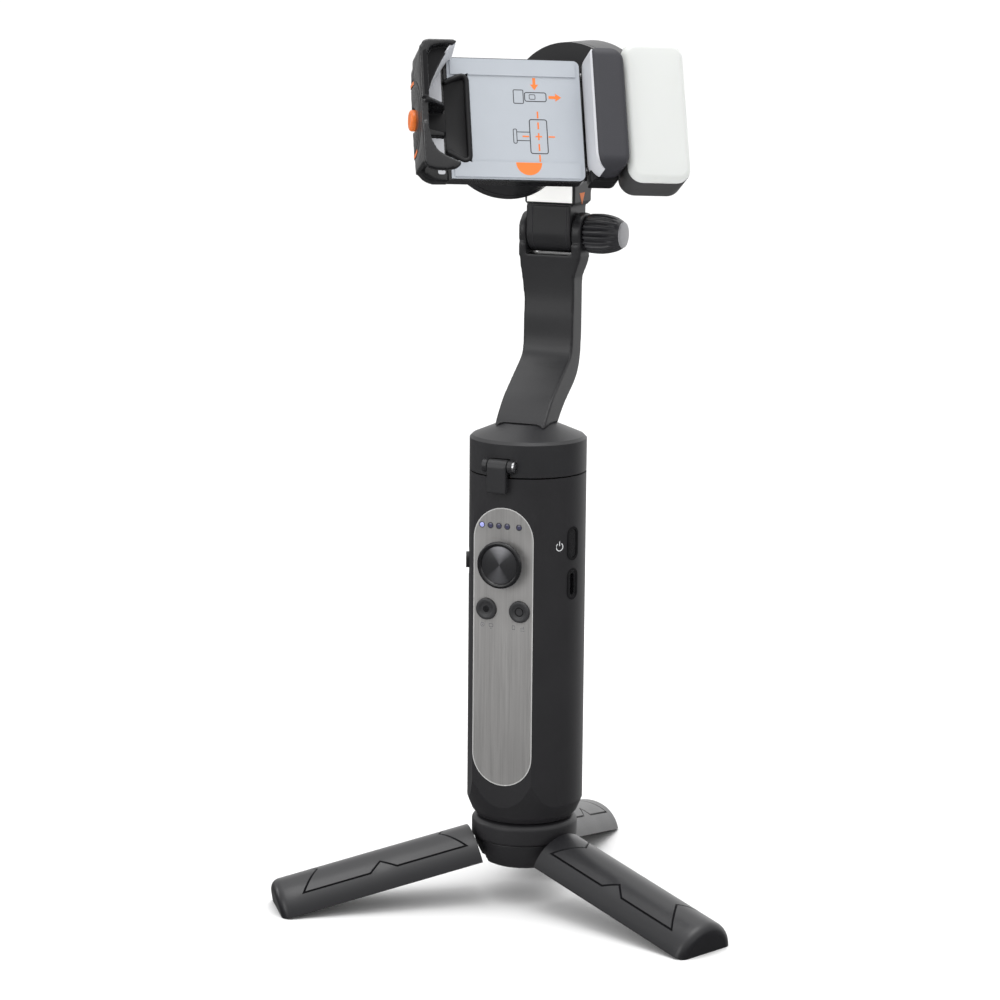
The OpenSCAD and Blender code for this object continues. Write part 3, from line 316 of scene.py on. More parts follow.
@dataclass
class Mould:
    """Gathers skins in millimetres and turns them into one piece."""

    seat: Matrix = field(default_factory=lambda: Matrix.Identity(4))
    mesh: bmesh.types.BMesh = field(default_factory=bmesh.new)

    def skin(self, loops: Sequence[Sequence[Sequence[float]]], caps: bool = True) -> "Mould":
        """Joins closed loops with as many points each into one tube.

        Args:
            loops: the loops, in order.
            caps: whether the two ends are closed.

        Returns:
            This mould.
        """
        rings = [[self.mesh.verts.new(p) for p in loop] for loop in loops]
        for a, b in zip(rings, rings[1:]):
            for i in range(len(a)):
                j = (i + 1) % len(a)
                self.mesh.faces.new((a[i], a[j], b[j], b[i]))
        if caps:
            self.mesh.faces.new(rings[0][::-1])
            self.mesh.faces.new(rings[-1])
        return self

    def lathe(
        self,
        profile: Sequence[Flat],
        steps: int = 64,
        shape: Callable[[float, float, float], float] | None = None,
        centre: Flat = (0.0, 0.0),
    ) -> "Mould":
        """Turns a profile about the seat's third axis.

        Args:
            profile: radius and height of each ring, a zero radius closing an end.
            steps: faces around.
            shape: changes a ring's radius from radius, height and angle.
            centre: where the axis stands.

        Returns:
            This mould.
        """
        loops = []
        for r, h in profile:
            ring = []
            for i in range(steps):
                a = 2 * math.pi * i / steps
                q = shape(r, h, a) if shape else r
                ring.append((centre[0] + q * math.cos(a), centre[1] + q * math.sin(a), h))
            loops.append(ring)
        return self.skin(loops, caps=False)

    def slab(self, outline: Sequence[Flat], low: float, high: float) -> "Mould":
        """Adds a flat plate of the outline between two heights."""
        return self.skin([[(x, y, h) for x, y in outline] for h in (low, high)])

    def lining(
        self,
        path: Sequence[Flat],
        lows: Sequence[float],
        highs: Sequence[float],
        depth: float,
        proud: float,
        flare: Sequence[float] | None = None,
    ) -> "Mould":
        """Stands a thin skin on edge along an open line.

        Args:
            path: the line that it follows.
            lows: its lower height at each point.
            highs: its upper height at each point.
            depth: how far it reaches to the line's left.
            proud: how far it stands out to the line's right.
            flare: how much further it stands out at its foot.

        Returns:
            This mould.
        """
        loops = []
        for i, (x, y) in enumerate(path):
            before, after = path[max(i - 1, 0)], path[min(i + 1, len(path) - 1)]
            along = (Vector(after) - Vector(before)).normalized()
            left = Vector((-along.y, along.x))
            back, front = Vector((x, y)) + left * depth, Vector((x, y)) - left * proud
            low, high = lows[i], highs[i]
            foot = front - left * (flare[i] if flare else 0.0)
            loops.append([(*back, low), (*foot, low), (*front, high), (*back, high)])
        return self.skin(loops)

    def frame_band(self, outer: Sequence[Flat], inner: Sequence[Flat], low: float, high: float) -> "Mould":
        """Adds a flat band between two outlines with as many points."""
        parts = ((outer, low), (outer, high), (inner, high), (inner, low), (outer, low))
        return self.skin([[(x, y, h) for x, y in loop] for loop, h in parts], caps=False)

    def pillow(
        self,
        outline: Sequence[Flat],
        low: float,
        high: float,
        low_round: float,
        high_round: float,
        crown: float = 0.0,
        steps: int = 6,
    ) -> "Mould":
        """Adds a plate with rounded edges and a crowned top.

        Args:
            outline: its widest outline.
            low: its lower height.
            high: its height at the top's rim.
            low_round: radius of the lower edge.
            high_round: radius of the upper edge.
            crown: rise of the top's middle.
            steps: faces in each rounding.

        Returns:
            This mould.
        """
        loops = []
        for k in range(steps + 1):
            a = math.pi / 2 * k / steps
            d = low_round * (1 - math.sin(a))
            loops.append([(x, y, low + low_round * (1 - math.cos(a))) for x, y in inset(outline, d)])
        for k in range(steps + 1):
            a = math.pi / 2 * k / steps
            d = high_round * (1 - math.cos(a))
            loops.append([(x, y, high - high_round * (1 - math.sin(a))) for x, y in inset(outline, d)])
        if crown:
            rim = inset(outline, high_round)
            cx = sum(p[0] for p in rim) / len(rim)
            cy = sum(p[1] for p in rim) / len(rim)
            for k in range(1, CROWN_RINGS):
                q = 1 - k / CROWN_RINGS
                h = high + crown * (1 - q * q)
                loops.append([(cx + (x - cx) * q, cy + (y - cy) * q, h) for x, y in rim])
        return self.skin(loops)

    def tube(self, path: Sequence[Sequence[float]], radius: float, steps: int = 10) -> "Mould":
        """Adds a round rod along a path.

        Args:
            path: the points that it follows.
            radius: its radius.
            steps: faces around.

        Returns:
            This mould.
        """
        points = [Vector(p) for p in path]
        loops = []
        side = Vector((0.31, 0.17, 0.93))  # any direction that no path follows
        for i, p in enumerate(points):
            along = (points[min(i + 1, len(points) - 1)] - points[max(i - 1, 0)]).normalized()
            side = (side - along * side.dot(along)).normalized()
            other = along.cross(side)
            angles = [2 * math.pi * k / steps for k in range(steps)]
            loops.append([p + (side * math.cos(a) + other * math.sin(a)) * radius for a in angles])
        return self.skin(loops)

    def data(self, name: str, sharp: float = SHARP) -> bpy.types.Mesh:
        """Turns what was gathered into a mesh in metres.

        Args:
            name: the mesh's name.
            sharp: angle above which an edge stays sharp.

        Returns:
            The mesh.
        """
        bmesh.ops.remove_doubles(self.mesh, verts=self.mesh.verts, dist=MERGE)
        bmesh.ops.recalc_face_normals(self.mesh, faces=self.mesh.faces)
        mesh = bpy.data.meshes.new(name)
        self.mesh.to_mesh(mesh)
        self.mesh.free()
        mesh.transform(Matrix.Diagonal((MM, MM, MM, 1.0)) @ self.seat)
        smooth(mesh, sharp)
        return mesh

    def piece(
        self, name: str, body: str, finish: "Finish", stands_for: Sequence[str] = (), sharp: float = SHARP
    ) -> bpy.types.Object:
        """Turns what was gathered into a piece of the object.

        Args:
            name: the piece's name.
            body: the CAD body that it rides on.
            finish: its finish.
            stands_for: the CAD nodes that it replaces.
            sharp: angle above which an edge stays sharp.

        Returns:
            The new object.
        """
        return add_piece(self.data(name, sharp), name, body, finish, stands_for)


def smooth(mesh: bpy.types.Mesh, sharp: float) -> None:
    """Shades a mesh smooth below an angle.

    Args:
        mesh: the mesh.
        sharp: the angle in degrees.
    """
    mesh.polygons.foreach_set("use_smooth", [True] * len(mesh.polygons))
    mesh.set_sharp_from_angle(angle=math.radians(sharp))


def add_piece(
    mesh: bpy.types.Mesh, name: str, body: str, finish: "Finish", stands_for: Sequence[str] = ()
) -> bpy.types.Object:
    """Puts a mesh into the scene as a piece.

    Args:
        mesh: the mesh, in metres.
        name: the piece's name.
        body: the CAD body that it rides on.
        finish: its finish.
        stands_for: the CAD nodes that it replaces.

    Returns:
        The new object.
    """
    obj = bpy.data.objects.new(name, mesh)
    bpy.context.scene.collection.objects.link(obj)
    mesh.materials.clear()
    mesh.materials.append(material_of(finish))
    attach(obj, body)
    if stands_for:
        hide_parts(*stands_for)
    return obj


def dress(finish: "Finish", *nodes: str) -> None:
    """Gives CAD nodes that stay in view a finish.

    Args:
        finish: the finish.
        nodes: the nodes' names.
    """
    for name in nodes:
        obj = frame["nodes"][name]
        if not obj.material_slots:
            obj.data.materials.append(material_of(finish))
        for slot in obj.material_slots:
            slot.material = material_of(finish)


def soften(node: str, name: str, finish: "Finish", low: float, high: float) -> bpy.types.Object:
    """Makes a copy of a grip shell whose facets shade rounder and rounder towards the top.

    Args:
        node: the CAD node.
        name: the new piece's name.
        finish: its finish.
        low: height where the shading starts to change.
        high: height from where it is fully round.

    Returns:
        The new object.
    """
    source = frame["nodes"][node]
    mesh = source.data.copy()
    smooth(mesh, SHARP)
    normals = [Vector(corner.vector) for corner in mesh.corner_normals]
    for face in mesh.polygons:
        middle = face.center / MM
        out = Vector((middle.x, middle.y, 0.0))
        if out.length <= GRIP_INSIDE_R or face.normal.dot(out.normalized()) <= FACES_OUT:
            continue
        for k in face.loop_indices:
            spot = mesh.vertices[mesh.loops[k].vertex_index].co / MM
            share = max(0.0, min(1.0, (spot.z - low) / (high - low)))
            share *= share * (3 - 2 * share)
            round_way = Vector((spot.x, spot.y, 0.0)).normalized()
            normals[k] = normals[k].lerp(round_way, share).normalized()
    mesh.normals_split_custom_set(normals)
    return add_piece(mesh, name, source["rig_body"], finish, [node])


def remould(
    node: str,
    name: str,
    finish: "Finish",
    voxel: float,
    passes: int,
    within: bpy.types.Mesh | None = None,
    keep: float = 0.3,
) -> bpy.types.Object:
    """Makes a moulded form of a CAD node, with soft edges, that stands for it.

    Args:
        node: the CAD node.
        name: the new piece's name.
        finish: its finish.
        voxel: grid size in millimetres.
        passes: how often the grid is smoothed.
        within: a closed form that the piece stays in.
        keep: share of the faces that is kept.

    Returns:
        The new object.
    """
    source = frame["nodes"][node]
    work = bpy.data.objects.new("work", source.data.copy())
    bpy.context.scene.collection.objects.link(work)
    grid = bmesh.new()
    grid.from_mesh(work.data)
    bmesh.ops.remove_doubles(grid, verts=grid.verts, dist=CAD_MERGE)
    grid.to_mesh(work.data)
    grid.free()
    limit = None
    if within is not None:
        limit = bpy.data.objects.new("limit", within)
        bpy.context.scene.collection.objects.link(limit)
        cut = work.modifiers.new("within", "BOOLEAN")
        cut.operation = "INTERSECT"
        cut.solver = "EXACT"
        cut.object = limit
    mesher = work.modifiers.new("grid", "REMESH")
    mesher.mode = "VOXEL"
    mesher.voxel_size = voxel * MM
    relax = work.modifiers.new("relax", "SMOOTH")
    relax.factor = 0.5
    relax.iterations = passes
    fewer = work.modifiers.new("fewer", "DECIMATE")
    fewer.ratio = keep
    bpy.context.view_layer.update()
    ready = work.evaluated_get(bpy.context.evaluated_depsgraph_get())
    mesh = bpy.data.meshes.new_from_object(ready)
    for extra in filter(None, (work, limit)):
        bpy.data.objects.remove(extra)
    smooth(mesh, SOFT)
    return add_piece(mesh, name, source["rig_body"], finish, [node])


class Wire:
    """A shader socket whose arithmetic adds Math nodes."""

    def __init__(self, graph: "Graph", socket: bpy.types.NodeSocket) -> None:
        """Wraps a graph's socket."""
        self.graph = graph
        self.socket = socket

    def __add__(self, other: object) -> "Wire":
        """Adds a value."""
        return self.graph.math("ADD", self, other)

    __radd__ = __add__

    def __sub__(self, other: object) -> "Wire":
        """Takes a value away."""
        return self.graph.math("SUBTRACT", self, other)

    def __rsub__(self, other: object) -> "Wire":
        """Takes this wire away from a value."""
        return self.graph.math("SUBTRACT", other, self)

    def __mul__(self, other: object) -> "Wire":
        """Multiplies by a value."""
        return self.graph.math("MULTIPLY", self, other)

    __rmul__ = __mul__

    def __lt__(self, other: object) -> "Wire":
        """Is one where this wire is less."""
        return self.graph.math("LESS_THAN", self, other)

    def __abs__(self) -> "Wire":
        """Drops the sign."""
        return self.graph.math("ABSOLUTE", self)

    def swing(self, amount: float) -> "Wire":
        """Turns 0 to 1 into a swing of that amount about zero."""
        return (self - 0.5) * amount


class Graph:
    """The node tree of a material or of the world."""

    def __init__(self, owner: bpy.types.Material | bpy.types.World) -> None:
        """Empties the tree.

        Args:
            owner: the material or world that the tree belongs to.
        """
        self.owner = owner
        owner.use_nodes = True
        self.tree = owner.node_tree
        self.tree.nodes.clear()

    def node(self, kind: str, settings: Values | None = None, values: Values | None = None) -> list[Wire]:
        """Adds a node, sets its settings first and then its sockets.

        Args:
            kind: the node's type.
            settings: its settings; "stops" are a ramp's positions and colours.
            values: what each input socket holds or is linked to.

        Returns:
            The wires of its outputs.
        """
        new = self.tree.nodes.new(kind)
        for key, value in (settings or {}).items():
            if key == "stops":
                ramp = new.color_ramp
                while len(ramp.elements) < len(value):
                    ramp.elements.new(0.5)
                for element, (position, colour) in zip(ramp.elements, value):
                    element.position = position
                    element.color = (*colour, 1.0)
            else:
                setattr(new, key, value)
        for key, value in (values or {}).items():
            socket = new.inputs[key]
            if isinstance(value, Wire):
                self.tree.links.new(value.socket, socket)
            elif socket.type == "RGBA" and len(value) == 3:
                socket.default_value = (*value, 1.0)
            else:
                socket.default_value = value
        return [Wire(self, s) for s in new.outputs]

    def math(self, operation: str, a: object, b: object = 0.0) -> Wire:
        """Adds one Math node.

        Args:
            operation: the node's operation.
            a: its first value.
            b: its second value.

        Returns:
            The result's wire.
        """
        return self.node("ShaderNodeMath", {"operation": operation}, {0: a, 1: b})[0]

    def coordinates(self, scale: Sequence[float] = EVEN) -> Wire:
        """Gives the place on the object in metres, stretched by a scale.

        Args:
            scale: the stretch along X, Y and Z.

        Returns:
            The coordinates' wire.
        """
        spot = self.node("ShaderNodeTexCoord")[OBJECT_OUTPUT]
        if tuple(scale) == EVEN:
            return spot
        return self.node("ShaderNodeVectorMath", {"operation": "MULTIPLY"}, {0: spot, 1: scale})[0]

    def split(self, vector: Wire | None = None) -> list[Wire]:
        """Gives X, Y and Z of a vector, or else of the place on the object in metres."""
        return self.node("ShaderNodeSeparateXYZ", None, {0: vector or self.coordinates()})

    def noise(self, size: float, detail: float = 2.0, scale: Sequence[float] = EVEN) -> Wire:
        """Gives a noise value whose cells have a size in millimetres.

        Args:
            size: the cells' size.
            detail: octaves of finer cells.
            scale: stretch of the coordinates.

        Returns:
            The noise, from 0 to 1.
        """
        values = {"Vector": self.coordinates(scale), "Scale": 1 / (size * MM), "Detail": detail}
        return self.node("ShaderNodeTexNoise", None, values)[0]

    def spread(self, value: Wire, low: float, high: float) -> Wire:
        """Maps a value between two limits to 0 to 1."""
        return self.node("ShaderNodeMapRange", None, {0: value, 1: low, 2: high})[0]

    def mix(self, factor: object, a: object, b: object) -> Wire:
        """Mixes two colours.

        Args:
            factor: how much of the second.
            a: the first colour or its wire.
            b: the second colour or its wire.

        Returns:
            The mixed colour.
        """
        return self.node("ShaderNodeMix", {"data_type": "RGBA"}, {0: factor, 6: a, 7: b})[2]

    def bump(self, height: Wire, depth: float) -> Wire:
        """Turns a height from 0 to 1 into a normal, 1 being a depth in millimetres."""
        return self.node("ShaderNodeBump", None, {"Strength": 1.0, "Distance": depth * MM, "Height": height})[0]

    def close(self, values: Values) -> bpy.types.Material:
        """Adds the shader and the output.

        Args:
            values: values or wires of the shader's sockets.

        Returns:
            The finished material.
        """
        shader = self.node("ShaderNodeBsdfPrincipled", None, values)[0]
        self.node("ShaderNodeOutputMaterial", None, {0: shader})
        return self.owner


def scaled(colour: Colour, share: float) -> Colour:
    """Makes a colour lighter or darker by a share."""
    return tuple(min(1.0, c * share) for c in colour)


@dataclass(frozen=True)
class Finish(ABC):
    """What a surface is: its material's name, the record's slot and its colour."""

    name: str
    slot: str
    colour: Colour

    def build(self) -> bpy.types.Material:
        """Makes the material."""
        g = Graph(bpy.data.materials.new(self.name))
        return g.close(self.sockets(g))

    @abstractmethod
    def sockets(self, g: Graph) -> Values:
        """Works out what the shader's sockets hold.

        Args:
            g: the material's node tree.

        Returns:
            Values and wires by the sockets' names.
        """


@dataclass(frozen=True)
class Plastic(Finish):
    """Moulded plastic with a fine grain, soft clouds of tone and tiny rubbed specks."""

    roughness: float
    grain: float = 0.35
    depth: float = 0.012
    mottle: float = 0.12
    coat: float = 0.0
    coat_roughness: float = 0.1
    specks: float = 0.35
    specular: float = 0.5
    glow: float = 0.0
    cloud_size: float = 14.0
    speck_size: float = 1.1
    speck_tone: float = 1.9

    def sockets(self, g: Graph) -> Values:
        """Lays grain, clouds and specks.

        Args:
            g: the material's node tree.

        Returns:
            What the shader's sockets hold.
        """
        fine = g.noise(self.grain, 2.0)
        broad = g.noise(self.cloud_size, 3.0)
        rubbed = g.spread(g.noise(self.speck_size, 5.0), 0.66, 0.8) * self.specks
        tone = g.mix(broad, scaled(self.colour, 1 - self.mottle), scaled(self.colour, 1 + self.mottle))
        colour = g.mix(rubbed, tone, scaled(self.colour, self.speck_tone))
        values: Values = {
            "Base Color": colour,
            "Roughness": fine.swing(0.12) + broad.swing(0.1) + self.roughness,
            "Normal": g.bump(fine, self.depth),
            "Coat Weight": self.coat,
            "Coat Roughness": self.coat_roughness,
            "Specular IOR Level": self.specular,
        }
        # glow is painted light: the surface shines though it is no lamp
        if self.glow:
            values |= {"Emission Color": colour, "Emission Strength": self.glow}
        return values


@dataclass(frozen=True)
class Brushed(Finish):
    """Brushed metal with streaks along one axis, and painted reflection: tones that fade in between two heights stand
    in for the lights' reflection changing with height.
    """

    roughness: float
    along: Axis = Axis.Z
    streak: float = 0.28
    metallic: float = 1.0
    depth: float = 0.004
    # painted reflection: each low, high and tone makes the colour lighter or darker above a band of heights
    fade: tuple[tuple[float, float, float], ...] = ()
    stretch: float = 0.012
    dark_tone: float = 0.72
    dark_share: float = 0.55

    def sockets(self, g: Graph) -> Values:
        """Draws the streaks out along the metal.

        Args:
            g: the material's node tree.

        Returns:
            What the shader's sockets hold.
        """
        scale = list(EVEN)
        scale[self.along.value] = self.stretch
        streaks = g.noise(self.streak, 3.0, scale)
        cloud = g.noise(20.0, 2.0)
        painted_light_base: object = self.colour
        # painted light and shade: the colour shifts between two heights, standing in for the lights' reflection
        for low, high, tone in self.fade:
            painted_light_base = g.mix(g.spread(g.split()[2], low * MM, high * MM), painted_light_base, scaled(self.colour, tone))
        dark = g.mix(g.spread(streaks, 0.3, 0.7), scaled(self.colour, self.dark_tone), self.colour)
        return {
            "Base Color": g.mix(self.dark_share, painted_light_base, dark),
            "Metallic": self.metallic,
            "Roughness": streaks.swing(0.3) + cloud.swing(0.08) + self.roughness,
            "Normal": g.bump(streaks, self.depth),
        }


@dataclass(frozen=True)
class Spun(Finish):
    """A lathe-turned dark face with fine bumped rings, and painted highlight wedges where the rings would catch the
    light.
    """

    centre: Flat
    ring_scale: float = 5200.0
    highlight_turn: float = 0.1
    highlight_tone: float = 3.2

    def sockets(self, g: Graph) -> Values:
        """Turns rings and painted highlight wedges about the centre.

        Args:
            g: the material's node tree.

        Returns:
            What the shader's sockets hold.
        """
        x, _, z = g.split()
        dx, dz = x - self.centre[0] * MM, z - self.centre[1] * MM
        radius = g.math("SQRT", dx * dx + dz * dz)
        values = {"W": radius, "Scale": self.ring_scale}
        rings = g.node("ShaderNodeTexNoise", {"noise_dimensions": "1D"}, values)[0]
        # painted highlight: the colour grows lighter in two wedges about the centre
        painted_highlight = abs(g.math("SINE", g.math("ARCTAN2", dz, dx) + self.highlight_turn))
        return {
            "Base Color": g.mix(g.spread(painted_highlight, 0.72, 1.0), self.colour, scaled(self.colour, self.highlight_tone)),
            "Metallic": 0.6,
            "Roughness": rings.swing(0.1) + 0.3,
            "Normal": g.bump(rings, 0.02),
            "Coat Weight": 0.25,
            "Coat Roughness": 0.15,
        }


@dataclass(frozen=True)
class Milk(Finish):
    """Milky moulded diffuser that light soaks into."""

    def sockets(self, g: Graph) -> Values:
        """Clouds the lens faintly.

        Args:
            g: the material's node tree.

        Returns:
            What the shader's sockets hold.
        """
        return {
            "Base Color": g.mix(g.noise(9.0, 2.0), scaled(self.colour, 0.985), self.colour),
            "Roughness": g.noise(0.8).swing(0.08) + 0.3,
            "Normal": g.bump(g.noise(0.7), 0.004),
            "Subsurface Weight": 0.35,
            "Subsurface Radius": (1.0, 1.0, 0.9),
            "Subsurface Scale": 0.002,
            "Coat Weight": 0.15,
            "Coat Roughness": 0.25,
        }


@dataclass(frozen=True)
class Glow(Finish):
    """A small lens with its lamp on or off."""

    glow: float

    def sockets(self, g: Graph) -> Values:
        """Clouds the lens, and lights it where it glows.

        Args:
            g: the material's node tree.

        Returns:
            What the shader's sockets hold.
        """
        tone = g.mix(g.noise(0.5), scaled(self.colour, 0.8), self.colour)
        values: Values = {"Base Color": tone, "Roughness": 0.15, "Coat Weight": 0.6, "Coat Roughness": 0.08}
        if self.glow:
            values |= {"Emission Color": tone, "Emission Strength": self.glow}
        return values


@dataclass(frozen=True)
class Winding(Finish):
    """Enamelled copper wire laid turn beside turn."""

    along: Axis

    def sockets(self, g: Graph) -> Values:
        """Lays the turns side by side.

        Args:
            g: the material's node tree.

        Returns:
            What the shader's sockets hold.
        """
        settings = {"bands_direction": self.along.name, "wave_type": "BANDS"}
        values = {"Vector": g.coordinates(), "Scale": 900.0, "Distortion": 1.5, "Detail": 1.0}
        turns = g.node("ShaderNodeTexWave", settings, values)[1]
        return {
            "Base Color": g.mix(turns, scaled(self.colour, 0.45), self.colour),
            "Metallic": 0.9,
            "Roughness": (1 - turns) * 0.25 + 0.28,
            "Normal": g.bump(turns, 0.12),
        }


@dataclass(frozen=True)
class Board(Finish):
    """Green circuit board with tinned pads."""

    pads: Colour
    pad_share: float = 0.22

    def sockets(self, g: Graph) -> Values:
        """Draws tracks, and pads over them.

        Args:
            g: the material's node tree.

        Returns:
            What the shader's sockets hold.
        """
        values = {"Vector": g.coordinates((1.0, 1.0, 0.6)), "Scale": 420.0}
        pad = g.node("ShaderNodeTexVoronoi", {"distance": "MANHATTAN"}, values)[0] < self.pad_share
        track = g.spread(abs(g.noise(5.0, 1.0) - 0.5), 0.012, 0.02)
        mask = g.mix(track, scaled(self.colour, 1.6), self.colour)
        return {
            "Base Color": g.mix(pad, mask, self.pads),
            "Metallic": pad * 0.9,
            "Roughness": 0.42 - pad * 0.14,
            "Normal": g.bump(pad, 0.03),
        }


@cache
def material_of(finish: Finish) -> bpy.types.Material:
    """Makes a finish's material once."""
    return finish.build()


SHELL = Plastic(
    "satin_shell", "shell", (0.019, 0.0185, 0.0205), roughness=0.44, grain=0.3, depth=0.008, specular=0.4
)
CAP_PLASTIC = Plastic("satin_cap", "shell", (0.017, 0.017, 0.019), roughness=0.44, grain=0.3, depth=0.008)
ARM = Plastic("matte_arm", "arm", (0.018, 0.018, 0.02), roughness=0.4, grain=0.32, depth=0.01, specular=0.55)
LEG = Plastic(
    "satin_leg", "shell", (0.009, 0.009, 0.011), roughness=0.36, grain=0.4, depth=0.006, coat=0.12, coat_roughness=0.3
)
GLOSS = Plastic(
    "gloss_black", "gloss_black", (0.008, 0.008, 0.009), roughness=0.25, grain=0.6, depth=0.002, mottle=0.1,
    coat=0.3, coat_roughness=0.15, specks=0.1, specular=0.4,
)  # fmt: skip
SATIN_BLACK = Plastic(
    "satin_black", "gloss_black", (0.01, 0.01, 0.011), roughness=0.4, grain=0.4, depth=0.006, specular=0.25
)
DEEP = Plastic(
    "deep_black", "gloss_black", (0.007, 0.007, 0.008), roughness=0.5, grain=0.4, depth=0.006, specular=0.15
)
CASE = Plastic("satin_case", "gloss_black", (0.055, 0.055, 0.056), roughness=0.45, depth=0.008, specks=0.2)
KEYTOP = Plastic("key_top", "shell", (0.03, 0.03, 0.032), roughness=0.38, grain=0.3, depth=0.005)
KNOB = Plastic(
    "gloss_knob", "gloss_black", (0.024, 0.024, 0.027), roughness=0.36, grain=0.6, depth=0.001, mottle=0.1,
    coat=0.2, coat_roughness=0.25, specks=0.1,
)  # fmt: skip
MOTOR = Plastic("satin_motor", "arm", (0.014, 0.014, 0.016), roughness=0.4, grain=0.3, depth=0.007)
RUBBER = Plastic("soft_rubber", "rubber", (0.012, 0.012, 0.012), roughness=0.75, grain=0.5, depth=0.03, specks=0.2)
PAD = Plastic("jaw_rubber", "rubber", (0.03, 0.03, 0.037), roughness=0.56, depth=0.02, specks=0.2)
LINER = Plastic(
    "pale_liner", "pad", (0.56, 0.57, 0.6), roughness=0.42, grain=0.4, depth=0.008, mottle=0.04, specks=0.1
)
PLATE = Plastic(
    "pale_plate", "plate", (0.43, 0.46, 0.5), roughness=0.36, grain=0.4, depth=0.004, mottle=0.03,
    coat=0.1, coat_roughness=0.25, specks=0.05,
)  # fmt: skip
ACCENT = Plastic(
    "orange_accent", "accent", (0.8, 0.17, 0.015), roughness=0.36, grain=0.4, depth=0.004, mottle=0.06,
    coat=0.2, coat_roughness=0.2, specks=0.05,
)  # fmt: skip
# the paper's glow is painted light, lifting the label out of the clamp's shadow
PAPER = Plastic(
    "label_paper", "paper", (0.93, 0.93, 0.91), roughness=0.55, grain=0.2, depth=0.006, mottle=0.03,
    specks=0.05, glow=0.3,
)  # fmt: skip
INK_GREY = Plastic("grey_ink", "gloss_black", (0.16, 0.16, 0.17), roughness=0.5, grain=0.2, depth=0.002, specks=0.1)
INK_BLACK = Plastic("black_ink", "gloss_black", (0.03, 0.03, 0.035), roughness=0.5, grain=0.2, depth=0.002, specks=0.1)
INK_WHITE = Plastic("white_ink", "paper", (0.62, 0.63, 0.64), roughness=0.5, grain=0.2, depth=0.002, specks=0.05)
INK_ORANGE = Plastic("orange_ink", "accent", (0.84, 0.2, 0.03), roughness=0.45, grain=0.2, depth=0.002, specks=0.05)
CELL = Plastic(
    "cell_wrap", "cell", (0.03, 0.09, 0.28), roughness=0.3, grain=1.2, depth=0.01, mottle=0.1,
    coat=0.4, coat_roughness=0.1,
)  # fmt: skip
# painted highlight: a light, half-metal band for the light that the panel's bevel catches
EDGE_HIGHLIGHT = Brushed("panel_edge", "panel", (0.68, 0.68, 0.67), roughness=0.35, metallic=0.3)
# The brushing is real; the fade is painted reflection: the panel is lighter from 60 to 110 mm up and darker again from
# 128 to 133 mm
PANEL = Brushed(
    "brushed_panel", "panel", (0.47, 0.462, 0.455), roughness=0.4, metallic=0.7,
    fade=((60.0, 110.0, 1.3), (128.0, 133.0, 0.95)),
)  # fmt: skip
STEEL = Brushed("turned_steel", "steel", (0.62, 0.62, 0.63), roughness=0.28, along=Axis.X, streak=0.4)
BRIGHT = Brushed("polished_steel", "steel", (0.82, 0.82, 0.83), roughness=0.12, along=Axis.X, streak=0.8, depth=0.001)
CAP_METAL = Brushed(
    "knob_badge", "steel", (0.38, 0.38, 0.395), roughness=0.42, along=Axis.Y, streak=0.3, metallic=0.35
)
SPUN = Spun("spun_face", "gloss_black", (0.045, 0.045, 0.048), centre=(0.0, 121.6))
MILK = Milk("milky_lens", "diffuser", (0.66, 0.675, 0.66))
LED_ON = Glow("led_on", "lens", (0.4, 0.43, 0.85), glow=0.12)
LED_OFF = Glow("led_off", "lens", (0.06, 0.06, 0.11), glow=0.0)
COPPER = Winding("copper_winding", "copper", (0.72, 0.3, 0.12), Axis.Z)
COPPER_TILT = Winding("copper_winding_tilt", "copper", (0.72, 0.3, 0.12), Axis.X)
BOARD = Board("circuit_board", "board", (0.01, 0.09, 0.045), pads=(0.62, 0.6, 0.5))


class Assembly(ABC):
    """A sub-assembly that makes its pieces and dresses its CAD nodes. Its sizes are in millimetres."""

    @abstractmethod
    def build(self) -> Pieces:
        """Makes and dresses the sub-assembly.

        Returns:
            The new pieces.
        """


